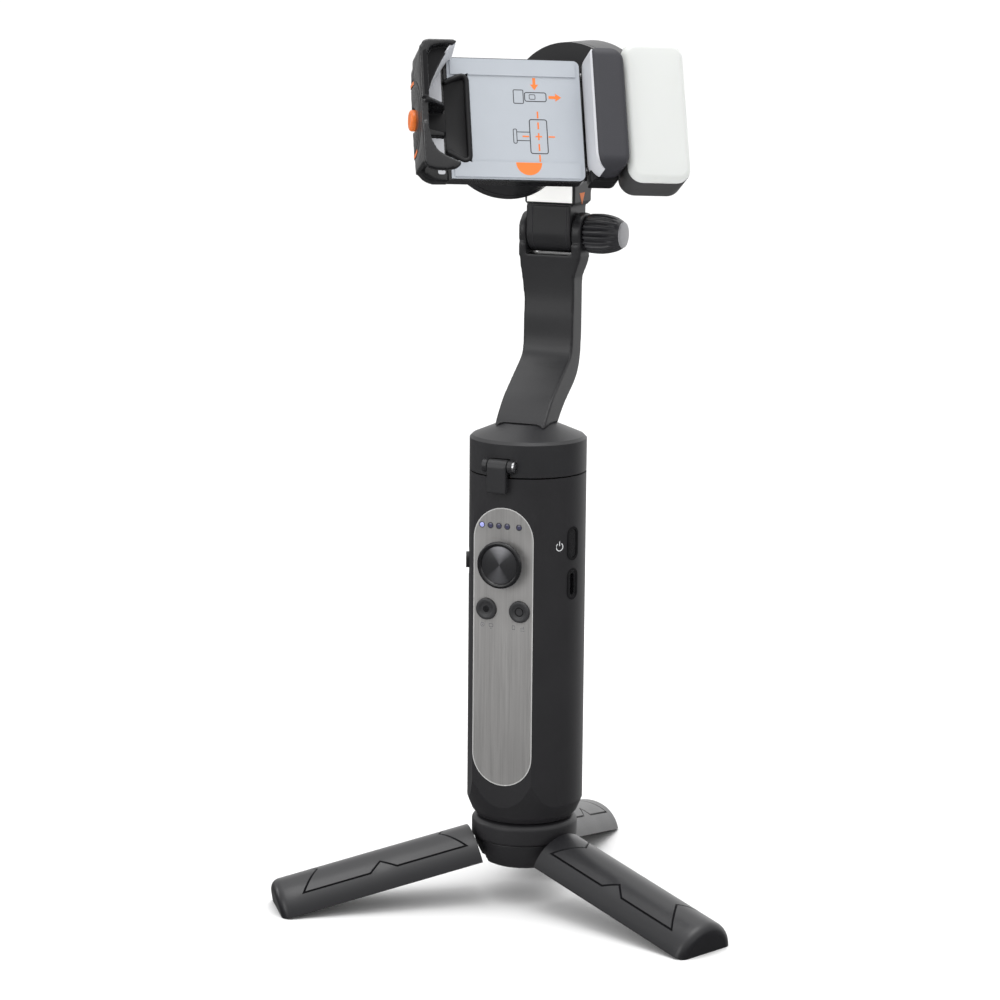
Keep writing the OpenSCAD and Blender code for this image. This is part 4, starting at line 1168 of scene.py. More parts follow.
@dataclass
class Handle(Assembly):
    """The grip with its panel, keys and joystick."""

    face_y: float = 20.0
    fade_z: Flat = (124.0, 140.0)
    panel_half: float = 11.0
    panel_z: Flat = (44.0, 140.6)
    panel_edge: float = 0.3
    rim_w: float = 0.8
    stick_z: float = 121.6
    stick_r: float = 8.1
    key_z: float = 105.4
    key_x: float = 6.1
    key_r: float = 3.7
    led_z: float = 134.3
    led_xs: tuple[float, ...] = (-8.0, -4.9, -1.8, 1.3, 5.6)
    led_r: float = 0.8
    glyph_z: float = 99.4
    power_turn: float = 56.5
    power_z: float = 127.1

    def build(self) -> Pieces:
        """Makes and dresses the grip.

        Returns:
            The new pieces.
        """
        made = [soften(f"handle_{side}_shell", f"{side}_grip", SHELL, *self.fade_z) for side in ("front", "rear")]
        dress(SHELL, "base_plug")
        dress(CAP_PLASTIC, "zoom_slider")
        dress(GLOSS, "power_button", "usb_socket", "joystick_base", "joystick_cradle", "joystick_stem")
        dress(PANEL, "control_panel")
        dress(STEEL, "shell_screws", "tripod_screw", "pan_deck", "pan_bearing")
        dress(BOARD, "main_board")
        dress(CELL, "battery_cell")
        dress(COPPER, "pan_stator")
        made += [self.panel_highlight_rim(), *self.joystick(), *self.keys(), *self.lamps()]
        return [*made, self.glyphs(), self.power_mark(), *self.side_rims()]

    def panel_highlight_rim(self) -> bpy.types.Object:
        """Edges the panel with a thin bright rim: the bevel is real, its brightness is a painted highlight.

        Returns:
            The rim.
        """
        outer = block(-self.panel_half, self.panel_half, *self.panel_z, self.panel_half, 16)
        rim = Mould(front_seat(0, 0))
        rim.frame_band(outer, inset(outer, self.panel_edge), self.face_y - 0.3, self.face_y + 0.03)
        return rim.piece("panel_edge", "stand", EDGE_HIGHLIGHT, sharp=CRISP)

    def side_rims(self) -> Pieces:
        """Rings the power key and the socket with dark rims.

        Returns:
            The two rims.
        """
        rims = []
        for node, name, half, tall in (
            ("power_button", "power_key_rim", 1.95, 5.05),
            ("usb_socket", "socket_rim", 1.85, 4.65),
        ):
            low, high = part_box(node)
            middle = (low + high) / 2
            turn = math.degrees(math.atan2(middle.x, -middle.y))
            inner, outer = (
                block(-half - w, half + w, -tall - w, tall + w, half + w, 8) for w in (0.0, self.rim_w)
            )
            rim = Mould(facing(turn, self.face_y, middle.z / MM)).frame_band(outer, inner, -0.6, 0.06)
            rims.append(rim.piece(name, "stand", DEEP, sharp=CRISP))
        return rims

    def joystick(self) -> Pieces:
        """Makes the joystick's rim and its spun face.

        Returns:
            The rim and the face.
        """
        seat, r = front_seat(0, self.stick_z), self.stick_r
        rim = Mould(seat).lathe(
            [
                (0, 22.4), (r - 1.2, 22.4), (r - 0.5, 22.5), (r - 0.1, 22.85), (r, 23.3), (r - 0.08, 23.75),
                (r - 0.35, 24.08), (r - 0.75, 24.2), (r - 1.15, 24.12), (r - 1.45, 23.9), (r - 1.6, 23.55),
                (r - 1.7, 23.45), (0, 23.45),
            ],
            96,
        )  # fmt: skip
        face = Mould(seat).lathe(
            [(0, 23.4), (r - 1.66, 23.4), (r - 1.66, 23.5), (r - 1.85, 23.6), (0, 23.52)], 96
        )
        return [
            rim.piece("joystick_rim", "stick", GLOSS, ["joystick_cap"], CRISP),
            face.piece("joystick_face", "stick", SPUN),
        ]

    def keys(self) -> Pieces:
        """Makes the two round keys, one dotted and one ringed.

        Returns:
            Each key's cap and mark.
        """
        made = []
        r = self.key_r
        for word, x in (("record", -self.key_x), ("mode", self.key_x)):
            seat = front_seat(x, self.key_z)
            front, back = (-corner.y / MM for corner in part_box(f"{word}_button"))
            cap = Mould(seat).lathe(
                [
                    (0, back), (r, back), (r, front - 0.35), (r - 0.1, front - 0.12), (r - 0.35, front),
                    (r - 1.0, front), (r - 1.25, front - 0.12), (r - 1.4, front - 0.38), (r - 2.0, front - 0.5),
                    (0, front - 0.5),
                ],
                64,
            )  # fmt: skip
            mark = Mould(seat)
            if word == "record":
                mark.pillow(circle((0, 0), 1.15), front - 0.52, front - 0.42, 0.01, 0.05)
            else:
                mark.frame_band(circle((0, 0), 1.6), circle((0, 0), 1.2), front - 0.52, front - 0.44)
            made.append(cap.piece(f"{word}_key_cap", f"{word}_key", KEYTOP, [f"{word}_button"], CRISP))
            made.append(mark.piece(f"{word}_key_mark", f"{word}_key", GLOSS))
        return made

    def lamps(self) -> Pieces:
        """Makes the five small lamps, only the first of them lit.

        Returns:
            Each lamp's lens and ring.
        """
        made = []
        r, y = self.led_r, self.face_y
        for name, x in zip(("one", "two", "three", "four", "status"), self.led_xs):
            seat = front_seat(x, self.led_z)
            finish, stands_for = (LED_ON, ["led_lenses"]) if name == "one" else (LED_OFF, [])
            lens = Mould(seat).lathe([(0, y - 1.0), (r, y - 1.0), (r, y + 0.02), (r - 0.3, y + 0.1), (0, y + 0.14)], 24)
            ring = Mould(seat).frame_band(circle((0, 0), r + 0.3, 24), circle((0, 0), r, 24), y - 0.2, y + 0.03)
            made.append(lens.piece(f"lamp_{name}", "stand", finish, stands_for))
            made.append(ring.piece(f"lamp_ring_{name}", "stand", INK_BLACK))
        return made

    def glyphs(self) -> bpy.types.Object:
        """Prints four small signs of no particular make under the keys.

        Returns:
            The signs.
        """
        ink = Mould(front_seat(0, self.glyph_z, -self.face_y))
        flat = (-0.05, 0.02)
        dot = (-7.6, 0.4)
        ink.frame_band(circle(dot, 0.75, 24), circle(dot, 0.55, 24), *flat)
        ink.slab(circle(dot, 0.22, 12), *flat)
        ink.frame_band(block(-5.2, -3.6, -0.2, 1.0, 0.25, 3), block(-5.02, -3.78, -0.02, 0.82, 0.15, 3), *flat)
        ink.slab([(-4.6, -0.9), (-4.1, -0.65), (-4.6, -0.4)], *flat)
        ink.frame_band(block(3.4, 4.5, -0.4, 1.1, 0.2, 3), block(3.56, 4.34, -0.2, 0.9, 0.1, 3), *flat)
        for k in range(3):
            ink.slab(bar((6.6 + 0.5 * k, 0.0), (6.6 + 0.5 * k, 0.4 + 0.3 * k), 0.22), *flat)
        ink.slab(bar((6.4, -0.5), (7.9, -0.5), 0.18), *flat)
        return ink.piece("panel_signs", "stand", INK_GREY)

    def power_mark(self) -> bpy.types.Object:
        """Prints the usual power sign beside the power key.

        Returns:
            The sign.
        """
        ink = Mould(facing(self.power_turn, self.face_y, self.power_z))
        ink.slab(arc_band(1.18, 1.5, 125, 415, 28), -0.2, 0.03)
        ink.slab(bar((0, 0.35), (0, 1.9), 0.34), -0.2, 0.03)
        return ink.piece("power_sign", "stand", INK_WHITE)


@dataclass
class Tripod(Assembly):
    """The three-legged stand under the grip."""

    azimuths: tuple[float, ...] = (217.5, 337.5, 97.5)
    bodies: tuple[str, ...] = ("leg_a", "leg_b", "leg_c")
    pivot_r: float = 11.0
    pivot_z: float = 19.39
    pivot_t: float = 1.75
    slope: float = 13.0
    start: float = 7.2
    reach: float = 78.6
    height: float = 10.0
    half: float = 12.5
    tip_round: float = 3.2
    groove_w: float = 0.75
    groove_d: float = 0.6
    groove_step: float = 1.2
    steps_across: int = 9
    steps_along: int = 26
    steps_tip: int = 6
    panel: tuple[Flat, ...] = (
        (11, 10.0), (36, 10.0), (41, 6.3), (45.5, 10.0), (69.3, 10.0), (62, 0), (69.3, -10.0),
        (45.5, -10.0), (41, -6.3), (36, -10.0), (11, -10.0), (18, 0),
    )  # fmt: skip

    @property
    def back_r(self) -> float:
        """Radius of a leg's round back."""
        return (self.height**2 + self.half**2) / (2 * self.height)

    def build(self) -> Pieces:
        """Makes the legs, the ring and the hub, and dresses the rest.

        Returns:
            The new pieces.
        """
        dress(STEEL, "leg_pins")
        made = [
            remould("tripod_ring", "ring_shell", SHELL, 0.45, 5),
            remould("tripod_hub", "hub_shell", SHELL, 0.4, 4),
        ]
        for number, (azimuth, body) in enumerate(zip(self.azimuths, self.bodies), 1):
            made.append(self.leg(number, azimuth, body))
            dress(RUBBER, f"foot_pad_{number}")
        return made

    def seat(self, azimuth: float) -> Matrix:
        """Gives the seat of a leg: along it, across it and out of its flat side.

        Args:
            azimuth: where the leg points.

        Returns:
            The seat.
        """
        c, s = math.cos(math.radians(self.slope)), math.sin(math.radians(self.slope))
        origin = (self.pivot_r - self.pivot_t * s, 0, self.pivot_z - self.pivot_t * c)
        return Matrix.Rotation(math.radians(azimuth), 4, "Z") @ place(origin, (c, 0, -s), (0, 1, 0), (s, 0, c))

    def surface(self, s: float, w: float, depth: float = 0.0) -> tuple[float, float, float]:
        """Finds a point of the leg's round back.

        Args:
            s: distance along the leg.
            w: distance round the back from the ridge.
            depth: how far the point lies under the surface.

        Returns:
            The point on the leg's seat.
        """
        r = self.back_r
        near = min(self.tip_round, max(0.0, s - (self.reach - self.tip_round)))
        drop = self.tip_round - math.sqrt(self.tip_round**2 - near**2)
        q = r - depth
        y, t = q * math.sin(w / r), self.height - r + q * math.cos(w / r)
        share = 1 - drop / self.height
        return s, y * (1 - drop / self.half), max(0.0, t) * share

    def leg(self, number: int, azimuth: float, body: str) -> bpy.types.Object:
        """Makes one leg with its grooved back.

        Args:
            number: which leg.
            azimuth: where it points.
            body: the CAD body that it rides on.

        Returns:
            The leg.
        """
        edge = self.back_r * math.asin(self.half / self.back_r)
        n = self.steps_across
        across = [edge * (k / n - 1) for k in range(2 * n + 1)]
        n, straight = self.steps_tip, self.reach - self.tip_round - self.start
        tip = [self.reach - self.tip_round * (1 - math.sin(math.pi / 2 * k / n)) for k in range(1, n + 1)]
        along = [self.start + straight * k / self.steps_along for k in range(self.steps_along + 1)] + tip
        loops = self.groove_loops()
        points = [Vector((s, w)) for s in along for w in across]
        rims = (across[0], across[-1])
        points = [p for p in points if p.y in rims or self.away(p, loops[1]) > self.groove_w]
        depths = [0.0] * len(points)
        edges = []
        for loop, depth in zip(loops, (0.0, self.groove_d, 0.0)):
            first = len(points)
            points += loop
            depths += [depth] * len(loop)
            edges += [(first + k, first + (k + 1) % len(loop)) for k in range(len(loop))]
        flat, _, faces, origin, _, _ = delaunay_2d_cdt(points, edges, [], 0, 1e-5)
        shape = Mould(self.seat(azimuth))
        new = shape.mesh.verts.new
        verts = []
        for p, source in zip(flat, origin):
            verts.append(new(self.surface(p.x, p.y, max((depths[k] for k in source), default=0.0))))
        for face in faces:
            shape.mesh.faces.new([verts[k] for k in face])
        left, right = ([new(self.surface(s, w)) for s in along] for w in rims)
        for k in range(len(along) - 1):
            shape.mesh.faces.new((left[k], left[k + 1], right[k + 1], right[k]))
        for s in (self.start, self.reach):
            shape.mesh.faces.new([new(self.surface(s, w)) for w in across])
        return shape.piece(f"leg_shell_{number}", body, LEG, [f"leg_{number}"], 32)

    def away(self, p: Vector, loop: Sequence[Vector]) -> float:
        """Measures how far a point lies from a closed line.

        Args:
            p: the point.
            loop: the line's corners.

        Returns:
            The shortest distance.
        """
        best = math.inf
        for a, b in zip(loop, [*loop[1:], loop[0]]):
            d = b - a
            t = max(0.0, min(1.0, (p - a).dot(d) / d.length_squared))
            best = min(best, (p - a - d * t).length)
        return best

    def groove_loops(self) -> list[list[Vector]]:
        """Gives the groove's outer edge, bottom and inner edge, in fine steps.

        Returns:
            Three closed lines.
        """
        loops = []
        for depth in (-self.groove_w / 2, 0.0, self.groove_w / 2):
            corners = [Vector(p) for p in inset(self.panel[::-1], depth)]
            loop = []
            for a, b in zip(corners, [*corners[1:], corners[0]]):
                n = max(1, round((b - a).length / self.groove_step))
                loop += [a.lerp(b, j / n) for j in range(n)]
            loops.append(loop)
        return loops


@dataclass
class PanHead(Assembly):
    """The turning head on the grip, its catch and the pan motor."""

    pin_x: float = 3.72
    pin_r: float = 2.0
    pin_y: float = -20.7
    pin_z: float = 154.8

    def build(self) -> Pieces:
        """Makes and dresses the head.

        Returns:
            The new pieces.
        """
        dress(CAP_PLASTIC, "pan_housing")
        dress(STEEL, "pan_rotor", "catch_pin")
        x, r = self.pin_x, self.pin_r
        head = Mould(side_seat(0, self.pin_y, self.pin_z)).lathe(
            [(0, x), (r, x), (r, x + 0.15), (r * 0.9, x + 0.5), (r * 0.6, x + 0.75), (0, x + 0.9)], 32
        )
        return [
            remould("lock_catch", "catch_lever", CAP_PLASTIC, 0.25, 3),
            head.piece("catch_pin_head", "pan", BRIGHT, sharp=SOFT),
        ]


@dataclass
class Arms(Assembly):
    """The two arms, their fold joint and its knob."""

    fold_y: float = 22.0
    fold_z: float = 230.0
    knob_x0: float = 12.1
    knob_x1: float = 24.7
    knob_r: float = 6.9
    flutes: int = 20
    flute_depth: float = 0.85
    flute_end: float = 0.93
    flute_fade: float = 0.3
    cap_r: float = 4.4
    half: float = 9.2
    tongue_r: float = 7.0
    window_half: float = 8.38

    def build(self) -> Pieces:
        """Makes and dresses the arms.

        Returns:
            The new pieces.
        """
        dress(STEEL, "fold_bolt")
        # the label's paper glows: painted light
        dress(PAPER, "arm_label")
        seen = [(5, 210), (31.0, 210), (31.0, 243.4), (32.6, 246.3), (60, 247.2), (60, 280), (5, 280)]
        limit = Mould(side_seat()).slab(seen, -12, 12)
        return [
            remould("lower_arm", "lower_arm_blade", ARM, 0.5, 4, keep=0.25),
            remould("upper_arm", "upper_arm_bar", ARM, 0.4, 3, limit.data("limit"), 0.25),
            *self.knob(),
            *self.marks(),
        ]

    def flute(self, r: float, x: float, a: float) -> float:
        """Gives the knob's radius with its flutes.

        Args:
            r: radius of the ribs there.
            x: distance along the knob.
            a: angle round it.

        Returns:
            The radius.
        """
        if r < self.knob_r * 0.7:
            return r
        share = (x - self.knob_x0) / (self.knob_x1 - self.knob_x0)
        fade = min(1.0, max(0.0, (self.flute_end - share) / self.flute_fade))
        return r - self.flute_depth * fade * (0.5 + 0.5 * math.cos(self.flutes * a)) ** 2.4

    def knob(self) -> Pieces:
        """Makes the fluted knob and its end cap.

        Returns:
            The knob and the cap.
        """
        seat = side_seat(0, self.fold_y, self.fold_z)
        x0, x1, r, c = self.knob_x0, self.knob_x1, self.knob_r, self.cap_r
        rows = [(0, x0), (r - 1.6, x0), (r - 0.75, x0 + 0.1), (r - 0.45, x0 + 0.4)]
        for k in range(11):
            swell = 0.25 * math.sin(math.pi * k / 10) - 0.9 * (k / 10) ** 3
            rows.append((r - 0.25 + swell, x0 + 0.8 + (x1 - x0 - 2.8) * k / 10))
        rows += [(r - 1.5, x1 - 1.3), (r - 1.9, x1 - 0.6), (r - 2.25, x1 - 0.15), (r - 2.45, x1), (0, x1)]
        grip = Mould(seat).lathe(rows, 240, self.flute)
        rows = [(0, x1 - 0.2), (c, x1 - 0.2), (c, x1 + 0.35), (c - 0.25, x1 + 0.62), (c - 0.6, x1 + 0.7)]
        cap = Mould(seat).lathe([*rows, (0, x1 + 0.72)], 64)
        return [
            grip.piece("knob_grip", "knob", KNOB, ["fold_knob"], CRISP),
            cap.piece("knob_badge", "knob", CAP_METAL, ["knob_cap"], CRISP),
        ]

    def marks(self) -> Pieces:
        """Prints the fold arrow, draws the tongue's lines and lays the window's sill, blacker than the arm as painted
        shade.

        Returns:
            The arrow, the lines and the sill.
        """
        ink = Mould(side_seat(self.half)).slab([(20.6, 243.6), (22.9, 239.6), (25.2, 243.6)], -0.1, 0.04)
        lines = Mould()
        r, y, z = self.tongue_r, self.fold_y, self.fold_z
        for x in (-5.8, 6.6):
            path = [(x, y - r, z + 9.2), (x, y - r, z + 4.0)]
            path += [(x, y - r * math.cos(0.2 * k), z - r * math.sin(0.2 * k)) for k in range(7)]
            lines.tube(path, 0.16, 6)
        outline = [(-4.0, -8.9), (4.6, -8.9), (4.8, -7.6), (-4.0, -7.6)]
        sill = Mould(side_seat(0, y, z)).slab(outline, -self.window_half, self.window_half)
        return [
            ink.piece("fold_arrow", "fold", INK_ORANGE),
            lines.piece("tongue_lines", "fold", INK_BLACK),
            # painted shade: the sill is blacker than the arm so that the window reads dark
            sill.piece("window_sill", "pan", DEEP),
        ]


@dataclass
class Motors(Assembly):
    """The tilt and roll motors and the arm between them."""

    def build(self) -> Pieces:
        """Dresses the motors and makes their arm.

        Returns:
            The arm.
        """
        dress(MOTOR, "tilt_housing", "tilt_rotor", "roll_housing", "roll_rotor")
        dress(COPPER_TILT, "tilt_stator", "roll_stator")
        dress(STEEL, "tilt_bearing", "roll_bearing")
        return [remould("swing_arm", "swing_link", MOTOR, 0.5, 4)]


@dataclass
class Clamp(Assembly):
    """The phone clamp with its jaws, plate and prints, and the lamp beside it."""

    jaw_u0: float = 34.2
    jaw_u1: float = 23.2
    jaw_w: float = 11.6
    jaw_hv: float = 23.3
    jaw_n: float = 12.0
    back_n: float = -5.0
    wall_t: float = 2.2
    ring_ri: float = 11.6
    ring_r: float = 13.0
    ring_n: float = -4.0
    ring_cut: float = 80.5
    accent_sweep: float = 26.0
    button_r: float = 3.55
    button_out: float = 1.3
    lamp_u: Flat = (34.82, 56.52)
    lamp_v: Flat = (-23.8, 25.4)
    lamp_back_n: float = -7.0
    lens_inset: float = 0.2
    lens_n0: float = 6.0
    lens_n: float = 9.2
    pad_v0: float = -20.6
    pad_v1: float = 21.9
    pad_round: float = 4.5
    foot_v: Flat = (-22.2, -17.5)
    dish_u: Flat = (-24.0, -16.4)
    dish_hv: float = 12.0
    dish_rise: float = 3.4
    floor_n: Flat = (-0.9, -0.7)
    floor_u: float = -25.0
    neck_u: float = -24.3
    ink_n: Flat = (-0.04, 0.03)
    ink_step: float = 0.004
    band_n: float = 0.4

    def build(self) -> Pieces:
        """Makes and dresses the clamp.

        Returns:
            The new pieces.
        """
        dress(GLOSS, "clamp_frame")
        dress(PLATE, "phone_plate")
        dress(STEEL, "guide_rods")
        return [
            remould("fixed_jaw", "claw_jaw", GLOSS, 0.4, 6),
            self.claw_face(),
            *self.pad_jaw(),
            *self.cradle(),
            *self.jaw_floor(),
            *self.release(),
            *self.prints(),
            *self.lamp(),
        ]

    def claw_face(self) -> bpy.types.Object:
        """Lays the dark face into the upper prong's hollow and down its outer rim.

        Returns:
            The face.
        """
        face = Mould(CLAMP)
        hollow = [(-31.6, 5.4), (-30.4, 9.4), (-28.8, 12.9), (-26.7, 16.9), (-24.6, 20.2), (-26.0, 20.5)]
        face.slab([*hollow, (-27.9, 20.2), (-30.3, 19.6), (-31.5, 17.6)], self.jaw_n - 2.5, self.jaw_n - 2.32)
        rim = [(-33.3, 3.2), (-31.9, 3.2), (-31.9, 17.6), (-32.2, 19.0), (-33.3, 18.2)]
        face.slab(rim, self.jaw_n - 0.3, self.jaw_n + 0.02)
        return face.piece("claw_face", "clamp", DEEP)

    def pad_jaw(self) -> Pieces:
        """Makes the padded jaw, its pale liner and its foot.

        Returns:
            The three pieces.
        """
        left, right = self.jaw_u1 + 0.3, self.jaw_u1 + self.jaw_w
        low, high = self.pad_v0, self.pad_v1
        top_r, foot_r = 2.6, 6.6
        outline = rounded([(left, low, foot_r), (right, low, 5.2), (right, high, 4.6), (left, high, top_r)], 10)
        limit = Mould(CLAMP).pillow(outline, self.back_n - 0.01, self.jaw_n, 1.5, 2.0)
        side = [(left, high - top_r + (low + foot_r - high + top_r) * k / 20) for k in range(1, 20)]
        path = [*outline[-6:], *side, *outline[:8]]
        tops = [self.jaw_n - 0.75 - self.fall(v) for _, v in path]
        lows = [-0.7 + 5.0 * max(0.0, 1 - (high - v) / 4.5) ** 2 for _, v in path]
        liner = Mould(CLAMP).lining(path, lows, tops, 0.6, 0.3)
        v0, v1 = self.foot_v
        near, far = left + 0.1, right - 1.6
        end = rounded([(near, v0, 0.6), (far, v0, 4.6), (far, v1, 0.5), (near, v1, 0.5)], 8)
        foot = Mould(CLAMP).pillow(end, -4.6, 1.5, 0.8, 0.8)
        return [
            remould("moving_jaw", "pad_jaw", PAD, 0.35, 4, limit.data("limit")),
            liner.piece("jaw_pad_liner", "jaw", LINER, ["jaw_liner"], SOFT),
            foot.piece("jaw_foot", "jaw", SATIN_BLACK, sharp=CRISP),
        ]

    def fall(self, v: float) -> float:
        """Tells how far the padded jaw's front has rounded back at a height."""
        past = max(0.0, v - self.jaw_hv + self.pad_round, self.pad_v0 + self.pad_round - v)
        return self.pad_round - math.sqrt(max(0.0, self.pad_round**2 - past**2))

    def cradle(self) -> Pieces:
        """Makes the dished cradle and its thick rim.

        Returns:
            The dish and the rim.
        """
        steps, half = 12, 8
        u0, u1 = self.dish_u
        loops = []
        for k in range(steps + 1):
            u = u0 + (u1 - u0) * k / steps
            hv = self.dish_hv + self.dish_rise * k / steps
            n = -2.3 + 2.2 * (k / steps) ** 3
            lower = hv + 0.8 * (u - u0) / (u1 - u0)
            vs = [(hv if j < half else lower) * (1 - j / half) for j in range(2 * half + 1)]
            top = [(u, v, n + 1.9 * abs(1 - j / half) ** 3 * (1 - k / steps)) for j, v in enumerate(vs)]
            loops.append([*top, (u, -lower, -2.98), (u, hv, -2.98)])
        dish = Mould(CLAMP).skin(loops)
        path = rounded([(-24.0, 12.2, 0), (-16.6, 15.5, 1.6), (-16.6, -16.3, 1.8), (-24.0, -12.2, 0)], 5)
        rim = Mould(CLAMP).tube([(u, v, -0.15) for u, v in path], 0.95)
        return [
            dish.piece("cradle_dish", "clamp", SATIN_BLACK, ["jaw_cradle"], 40),
            rim.piece("cradle_rim", "clamp", SATIN_BLACK, sharp=SOFT),
        ]

    def jaw_floor(self) -> Pieces:
        """Lines the fixed jaw's floor on both sides of its neck.

        Returns:
            The lining and the neck.
        """
        lining = Mould(CLAMP)
        left, right = -self.jaw_u0 + self.wall_t + 0.1, self.floor_u
        for start, low, high in ((left, 2.4, 19.0), (left, -15.5, -4.4), (-27.4, -19.6, -16.0)):
            lining.slab(block(start, right, low, high, 0.6, 3), *self.floor_n)
        tip = [(-22.05, 21.4), (-23.8, 20.45), (-26.3, 16.65), (-28.45, 12.55), (-30.1, 9.05), (-31.4, 5.2)]
        path = flowing(tip)
        lows = [0.7 if u > -24.1 else -0.7 for u, _ in path]
        highs = [self.jaw_n - 0.8 if u > -25 else self.jaw_n - 3.2 for u, _ in path]
        flare = [-1.5 + 0.9 * k / len(path) for k in range(len(path))]
        lining.lining(path, lows, highs, -0.4, -0.05, flare)
        back, front = left - 0.4, self.neck_u
        outline = rounded([(back, -3.9, 0.5), (front, -5.7, 0.5), (front, 1.5, 0.5), (back, 1.2, 0.5)])
        neck = Mould(CLAMP).pillow(outline, -0.9, 0.36, 0.05, 0.3)
        return [
            lining.piece("jaw_lining", "clamp", LINER),
            neck.piece("jaw_neck", "clamp", SATIN_BLACK, sharp=CRISP),
        ]

    def release(self) -> Pieces:
        """Makes the dark ring, its orange arcs and the release button on the outer side.

        Returns:
            The three pieces.
        """
        seat = CLAMP @ place((-self.jaw_u0, 0, self.ring_n), (0, 0, -1), (0, 1, 0), (-1, 0, 0))
        a, b, cut, sweep = self.ring_ri, self.ring_r, self.ring_cut, self.accent_sweep
        ring = Mould(seat).slab(arc_band(a, b, cut, 360 - cut), -0.46, 0.02)
        arcs = Mould(seat)
        for start in (cut + 1, 360 - cut - 1 - sweep):
            arcs.slab(arc_band(a + 0.15, b - 0.15, start, start + sweep), -0.2, 0.05)
        r, h = self.button_r, self.button_out
        rows = [(0, -0.35), (r, -0.35), (r, h - 0.7), (r - 0.2, h - 0.25), (r - 0.6, h), (r - 1.4, h - 0.05)]
        cap = Mould(seat).lathe([*rows, (0, h - 0.25)], 64)
        return [
            ring.piece("boss_ring", "clamp", GLOSS, ["accent_ring"], SOFT),
            arcs.piece("accent_arcs", "clamp", ACCENT),
            cap.piece("release_cap", "release", ACCENT, ["release_button"], CRISP),
        ]

    def prints(self) -> Pieces:
        """Prints plain placing marks on the plate.

        Returns:
            The orange and the black marks.
        """
        low, high = self.ink_n
        orange, black = Mould(CLAMP), Mould(CLAMP)
        cu, cv = 7.0, -6.0
        for k in (-4, -2, 0, 2, 4):
            orange.slab(bar((cu, cv + 1.9 * k - 1.2), (cu, cv + 1.9 * k + 1.2), 0.55), low, high)
        for k in (-2, 0, 2):
            orange.slab(bar((cu + 2.2 * k - 1.1, cv), (cu + 2.2 * k + 1.1, cv), 0.5), low, high + 0.006)
        for v in (cv - 1.5, cv + 1.5):
            black.slab(bar((cu - 3, v), (cu - 7.5, v), 0.26), low, high)
        for sides, corner, stroke in (
            ((cu - 3.1, cu + 3.1, cv - 6.1, cv + 6.1), 0.9, 0.32),
            ((cu - 8.7, cu - 7.3, cv - 2.6, cv + 2.6), 0.5, 0.26),
            ((cu - 4.2, cu + 3.4, 6.2, 9.6), 0.8, 0.3),
            ((cu - 8.0, cu - 4.4, 5.4, 10.4), 0.5, 0.28),
            ((cu - 2.6, cu - 0.4, 7.0, 8.8), 0.4, 0.22),
        ):
            outer = block(*sides, corner)
            black.frame_band(outer, inset(outer, stroke), low, high - self.ink_step)
        self.arrow(orange, (cu - 0.6, 14.6), (cu - 0.6, 10.3))
        self.arrow(orange, (cu + 4.1, 7.9), (cu + 8.4, 7.9))
        dome = [turn_point((cu + 0.5, -15.3), (cu - 3.9, -15.3), -180 * k / 24) for k in range(25)]
        orange.slab(dome[::-1], self.band_n - 0.1, self.band_n + high)
        return [
            orange.piece("plate_marks_orange", "clamp", INK_ORANGE),
            black.piece("plate_marks_black", "clamp", INK_BLACK),
        ]

    def arrow(self, ink: Mould, tail: Flat, tip: Flat) -> None:
        """Prints one short arrow.

        Args:
            ink: the mould that it goes into.
            tail: where it starts.
            tip: where it points.
        """
        low, high = self.ink_n
        a, b = Vector(tail), Vector(tip)
        d = (b - a).normalized()
        side = Vector((-d.y, d.x))
        neck = b - d * 2.0
        ink.slab(bar(tail, (neck.x, neck.y), 1.0), low, high)
        head = [neck + side * 1.4, neck - side * 1.4, b]
        ink.slab([(p.x, p.y) for p in head], low, high + self.ink_step)

    def lamp(self) -> Pieces:
        """Makes the lamp's case and its milky lens.

        Returns:
            The case and the lens.
        """
        (u0, u1), (v0, v1), i = self.lamp_u, self.lamp_v, self.lens_inset
        case = Mould(CLAMP).pillow(block(u0, u1, v0, v1, 5.4, 8), self.lamp_back_n, self.lens_n0, 1.2, 0.3)
        outline = block(u0 + i, u1 - i, v0 + i, v1 - i, 5.0, 8)
        lens = Mould(CLAMP).pillow(outline, self.lens_n0 + 0.02, self.lens_n - 0.35, 0.1, 2.4, 0.35, 8)
        return [
            case.piece("lamp_shell", "jaw", CASE, ["lamp_case"], 45),
            lens.piece("lamp_lens", "jaw", MILK, ["lamp_diffuser"], SOFT),
        ]


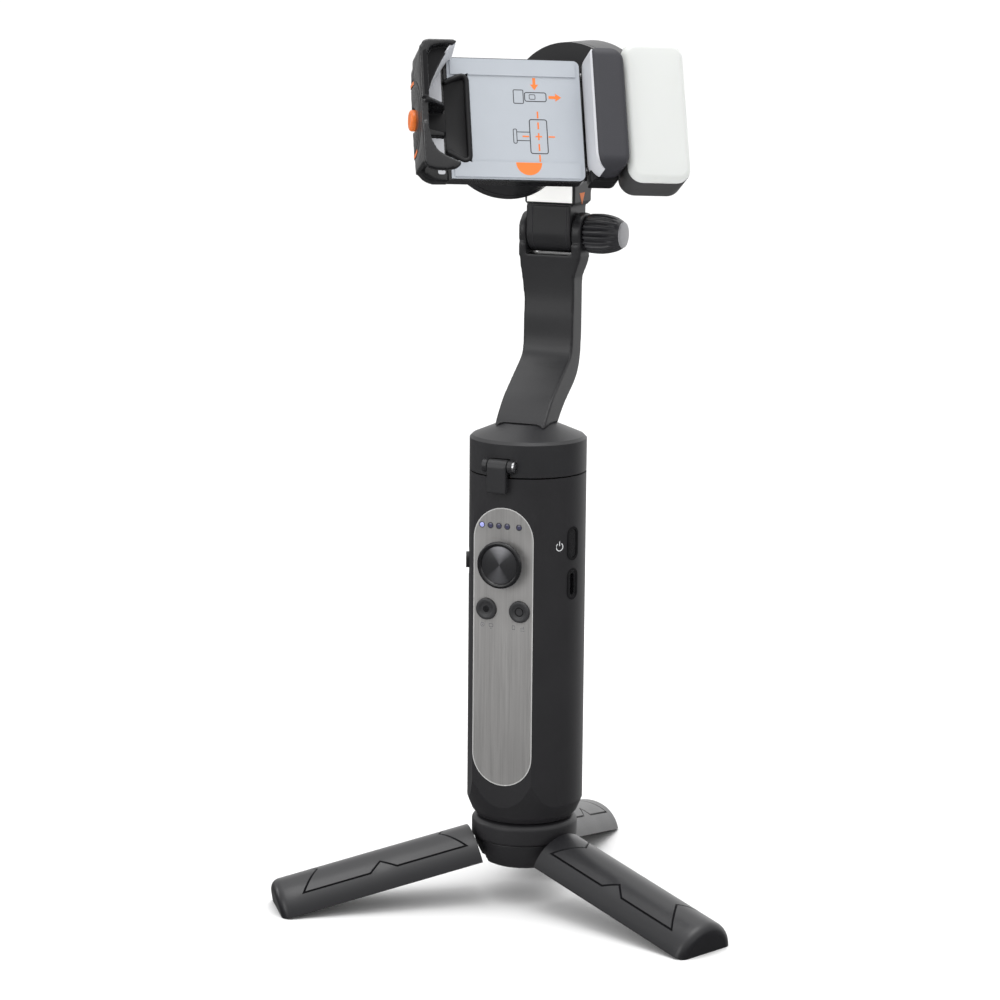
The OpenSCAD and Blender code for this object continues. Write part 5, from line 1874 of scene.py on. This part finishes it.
@dataclass
class Studio:
    """The pale floor, the soft lights, the bright air and the camera."""

    azimuth: float = 23.9313
    elevation: float = 10.6013
    roll: float = 0.49862
    lens: float = 112.665
    sensor: float = 36.0
    clip: Flat = (0.02, 60.0)
    stand_mm: tuple[float, float, float] = (417.964, -965.110, 336.747)
    floor_r: float = 16000.0
    floor_t: float = 4.0
    tones: tuple[Flat, ...] = ((0.0, 0.06), (0.49, 0.08), (0.6, 0.4), (0.8, 0.5), (0.92, 1.0), (1.0, 1.0))
    air: float = 1.6
    backdrop: float = 0.7

    def build(self) -> None:
        """Makes the camera, the floor, the lights and the air."""
        self.camera()
        self.floor()
        for light in Light:
            self.light(light)
        self.sky()
        bpy.context.scene.view_settings.view_transform = "Standard"

    def camera(self) -> None:
        """Stands the camera where the photograph was taken."""
        a, e, r = (math.radians(v) for v in (self.azimuth, self.elevation, self.roll))
        forward = Vector((-math.sin(a) * math.cos(e), math.cos(a) * math.cos(e), -math.sin(e)))
        level = Vector((math.cos(a), math.sin(a), 0))
        upright = level.cross(forward)
        right = level * math.cos(r) + upright * math.sin(r)
        up = upright * math.cos(r) - level * math.sin(r)
        data = bpy.data.cameras.new("camera")
        data.lens = self.lens
        data.sensor_width = self.sensor
        data.clip_start, data.clip_end = self.clip
        obj = bpy.data.objects.new("camera", data)
        obj.matrix_world = place([v * MM for v in self.stand_mm], right, up, -forward)
        bpy.context.scene.collection.objects.link(obj)
        bpy.context.scene.camera = obj

    def floor(self) -> None:
        """Lays a wide pale floor."""
        g = Graph(bpy.data.materials.new("studio_floor"))
        tone = g.mix(g.noise(400.0), (0.91, 0.91, 0.91), (0.93, 0.93, 0.93))
        mesh = Mould().slab(circle((0, 0), self.floor_r, 64), -self.floor_t, 0.0).data("floor")
        mesh.materials.append(g.close({"Base Color": tone, "Roughness": 0.9, "Specular IOR Level": 0.1}))
        obj = bpy.data.objects.new("floor", mesh)
        obj.visible_glossy = False
        bpy.context.scene.collection.objects.link(obj)

    def light(self, light: Light) -> None:
        """Hangs one soft light.

        Args:
            light: which light.
        """
        where, aim, size, power = light.value
        data = bpy.data.lights.new(light.name.lower(), "AREA")
        data.size = size
        data.energy = power
        obj = bpy.data.objects.new(light.name.lower(), data)
        obj.location = where
        obj.rotation_euler = (Vector(aim) - Vector(where)).to_track_quat("-Z", "Y").to_euler()
        bpy.context.scene.collection.objects.link(obj)

    def sky(self) -> None:
        """Makes the air: bright overhead, dark under the table, and white behind it."""
        g = Graph(bpy.data.worlds.new("studio_air"))
        _, away, up = g.split(g.node("ShaderNodeTexCoord")[DIRECTION_OUTPUT])
        stops = [(where, (tone, tone, tone)) for where, tone in self.tones]
        tone = g.node("ShaderNodeValToRGB", {"stops": stops}, {0: up * 0.5 + 0.5})[0]
        sweep = g.spread(away, 0.6, 0.95) * g.spread(up, -0.5, 0.0) * self.backdrop
        air = g.node("ShaderNodeBackground", None, {0: g.mix(sweep, tone, EVEN), 1: self.air})[0]
        g.node("ShaderNodeOutputWorld", None, {0: air})
        bpy.context.scene.world = g.owner


def main() -> None:
    """Builds the sub-assemblies in order and reports each piece."""
    logging.basicConfig(level=logging.INFO, format="%(name)s: %(message)s")
    Studio().build()
    for part in (Handle(), Tripod(), PanHead(), Arms(), Motors(), Clamp()):
        for piece in part.build():
            LOG.info("%s: made %s", type(part).__name__, piece.name)


if __name__ == "__main__":
    main()
